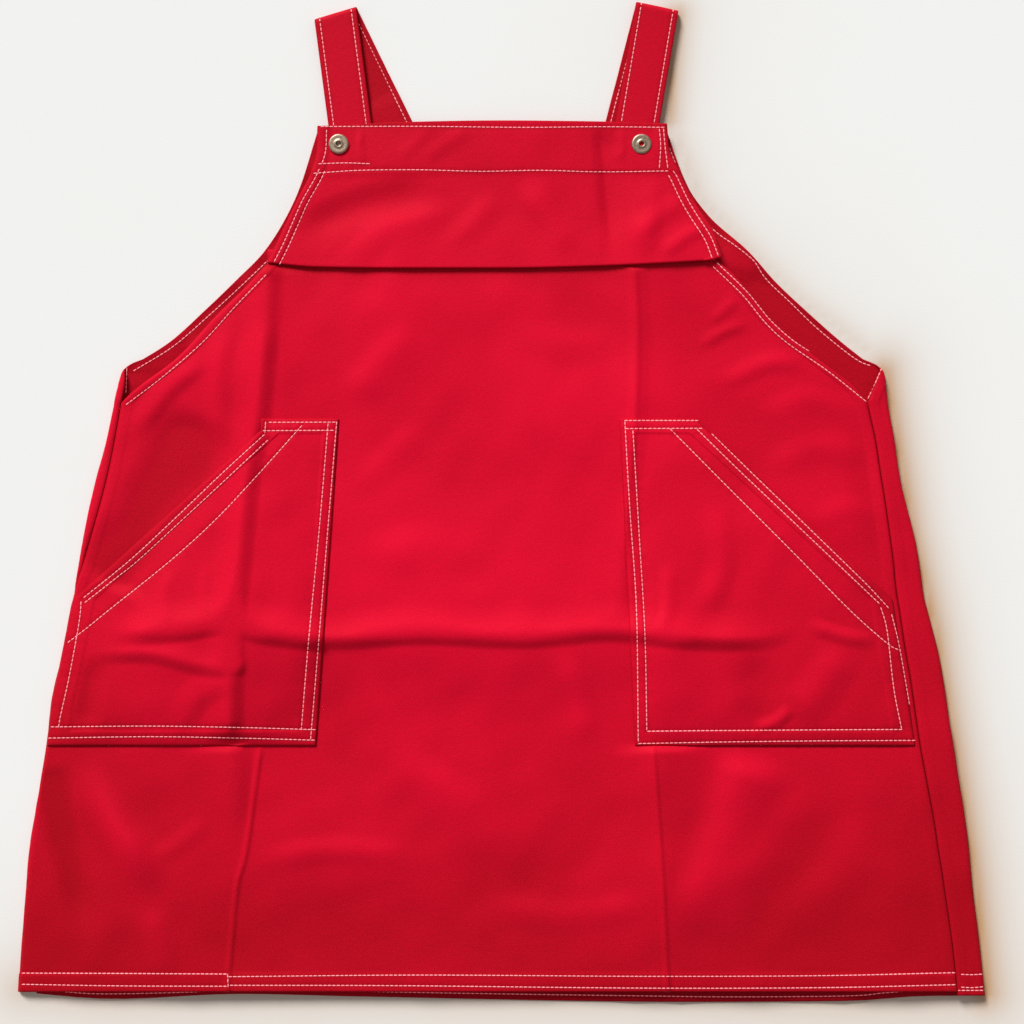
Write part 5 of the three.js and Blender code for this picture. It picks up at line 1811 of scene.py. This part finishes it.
@dataclass
class Apron:
    """All the pieces, each in the place of its CAD node."""

    origin_y: float
    lay: Lay = field(default_factory=Lay)

    def __post_init__(self) -> None:
        """Makes the finishes."""
        self.nylon = Nylon().make()
        self.thread = Thread().make()
        self.brass = Metal("antique_brass", (0.2, 0.14, 0.095), (0.6, 0.46, 0.34), 0.46).make()
        self.steel = Metal("plain_steel", (0.3, 0.29, 0.27), (0.5, 0.48, 0.45), 0.42).make()

    def dress(self, piece: bpy.types.Object, material: bpy.types.Material,
            node: str | None) -> None:
        """Gives a piece its finish and its place in the model.

        Args:
            piece: The object.
            material: What it is made of.
            node: The CAD node that it stands for, if it stands for one.
        """
        piece.data.materials.append(material)
        if node:
            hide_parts(node)
        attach(piece, "root")
        LOG.info("%s: %d vertices", piece.name, len(piece.data.vertices))

    def sheet(self, piece: bpy.types.Object, node: str, flat: tuple[float, float], area: float,
              rests_on: Sequence[str], stitches: bpy.types.Object,
                  extra: Sequence[bpy.types.Object] = ()) -> None:
        self.dress(piece, self.nylon, node)
        self.dress(stitches, self.thread, None)

    def sewn(self, cloth: bpy.types.Object, piece: str, name: str) -> bpy.types.Object:
        """Makes the stitches of a piece of cloth."""
        stitching = Stitching(self.origin_y)
        stitching.sew_onto(cloth, piece)
        return stitching.finish(name)

    def build(self, frame: dict) -> None:
        """Builds and dresses every piece."""
        front = FrontPanel(self.lay, self.origin_y).build()
        back = BackPanel(self.lay, self.origin_y).build()
        pockets = [
            Pocket(self.lay, self.origin_y, "left", -1, 0.3372, 0.3847, 0.065),
            Pocket(self.lay, self.origin_y, "right", 1, 0.2448, 0.2764, 0.013),
        ]
        straps = [
            Strap(self.origin_y, "left", -0.8714, 0.941, -7.5, 16.75, -0.62),
            Strap(self.origin_y, "right", 0.7785, 1.0, 9.6, -12.0, 0.34),
        ]
        self.sheet(back, "back_panel", (0.88, 0.742), 0.49, ["floor"],
            self.sewn(back, "back", "stitches_back"))
        self.sheet(front, "front_panel", (0.81, 0.756), 0.48, [back.name],
            self.sewn(front, "front", "stitches_front"))
        for pocket in pockets:
            cloth = pocket.build()
            stitches = self.sewn(cloth, f"{pocket.side} pocket", f"stitches_pocket_{pocket.side}")
            self.sheet(cloth, f"pocket_{pocket.side}", (0.255, 0.279), 0.05, [front.name], stitches)
        for strap in straps:
            cloth = strap.build()
            stitching = Stitching(self.origin_y)
            strap.sew(stitching)
            stitches = stitching.finish(f"stitches_strap_{strap.side}")
            button = Button(strap.side, strap.button_place(), self.origin_y, CUT.band_height + 0.3).build()
            tack = frame["nodes"][f"tack_{strap.side}"]
            self.dress(button, self.brass, f"button_{strap.side}")
            tack.data.materials.clear()
            tack.data.materials.append(self.steel)
            self.sheet(cloth, f"strap_{strap.side}", (0.036, 0.29), 0.0104, [back.name], stitches, [button])


class PaintedShadowRow(NamedTuple):
    """A stretch of the outline beside which a warmer shadow is painted on the floor: how strongly, and how far
    in millimetres.
    """

    name: str
    line: Points
    strength: float
    reach: float


PAINTED_SHADOW_ROWS = (
    PaintedShadowRow("right strap", ((677, 14), (668, 118)), 0.85, 10.0),
    PaintedShadowRow("right armhole", ((674, 132), (700, 200), (730, 232), (800, 300), (880, 360)), 0.32, 12.0),
    PaintedShadowRow("right side", ((884, 372), (911, 533), (935, 634), (954, 754), (973, 876), (985, 993)),
        0.95, 16.0),
    PaintedShadowRow("hem", ((985, 994), (848, 1000), (640, 1000), (360, 996), (108, 998), (19, 991)), 0.4, 26.0),
)


@dataclass
class Ground:
    """The floor, with a painted shadow beside the apron's outline, darker and tinted by the red light that the
    apron throws on it, kept as a number on its mesh.
    """

    origin_y: float
    reach: float = 2.5
    middle: float = 0.55
    segments: int = 200

    def build(self) -> bpy.types.Object:
        """Makes the floor, with most of its grid round the apron."""
        bm = bmesh.new()
        bmesh.ops.create_grid(bm, x_segments=self.segments, y_segments=self.segments, size=1.0)
        spread = ((-1, -0.8, 0.8, 1), (-self.reach, -self.middle, self.middle, self.reach))
        flat = np.interp(np.array([vertex.co[:2] for vertex in bm.verts]), *spread)
        x, y = flat[:, 0] / MM, (flat[:, 1] - self.origin_y) / MM
        painted_light = np.zeros(len(flat))
        # Painted shadow: strongest at the outline, fading with distance, with a faint wide fringe.
        for row in PAINTED_SHADOW_ROWS:
            away = np.abs(near_line(x, y, from_photo(row.line))[0])
            painted_light = np.maximum(painted_light, row.strength * np.exp(-away / row.reach) + 0.12 * np.exp(-away / 60))
        layer = bm.verts.layers.float.new("painted_light")
        for vertex, place, value in zip(bm.verts, flat, painted_light):
            vertex.co = (*place, 0.0)
            vertex[layer] = value
        return link_mesh("floor", bm)


def set_stage(origin_y: float) -> None:
    """Makes the floor, the light and the camera."""
    floor = Ground(origin_y).build()
    floor.data.materials.append(Floor().make())

    world = bpy.data.worlds.new("room")
    bpy.context.scene.world = world
    world.use_nodes = True
    background = world.node_tree.nodes["Background"]
    background.inputs["Color"].default_value = (1.0, 1.0, 1.0, 1.0)
    background.inputs["Strength"].default_value = 0.3

    key = bpy.data.lights.new("key", "SUN")
    key.energy = 4.1
    key.angle = math.radians(20)
    key.color = (1.0, 1.0, 0.995)
    lamp = bpy.data.objects.new("key", key)
    bpy.context.scene.collection.objects.link(lamp)
    lamp.rotation_mode = "QUATERNION"
    lamp.rotation_quaternion = Vector((-0.36, 0.76, 0.54)).to_track_quat("Z", "Y")

    lens = bpy.data.cameras.new("camera")
    lens.lens, lens.sensor_width = 50.0, 36.0
    camera = bpy.data.objects.new("camera", lens)
    bpy.context.scene.collection.objects.link(camera)
    camera.location = (0.0089, -0.0089, 1.21)
    bpy.context.scene.camera = camera
    bpy.context.scene.view_settings.view_transform = "Standard"


def main() -> None:
    """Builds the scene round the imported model."""
    logging.basicConfig(level=logging.INFO, format="%(name)s %(message)s")
    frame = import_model()
    origin_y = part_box("front_panel")[1].y
    set_stage(origin_y)
    Apron(origin_y).build(frame)
    bpy.context.view_layer.update()


if __name__ == "__main__":
    main()
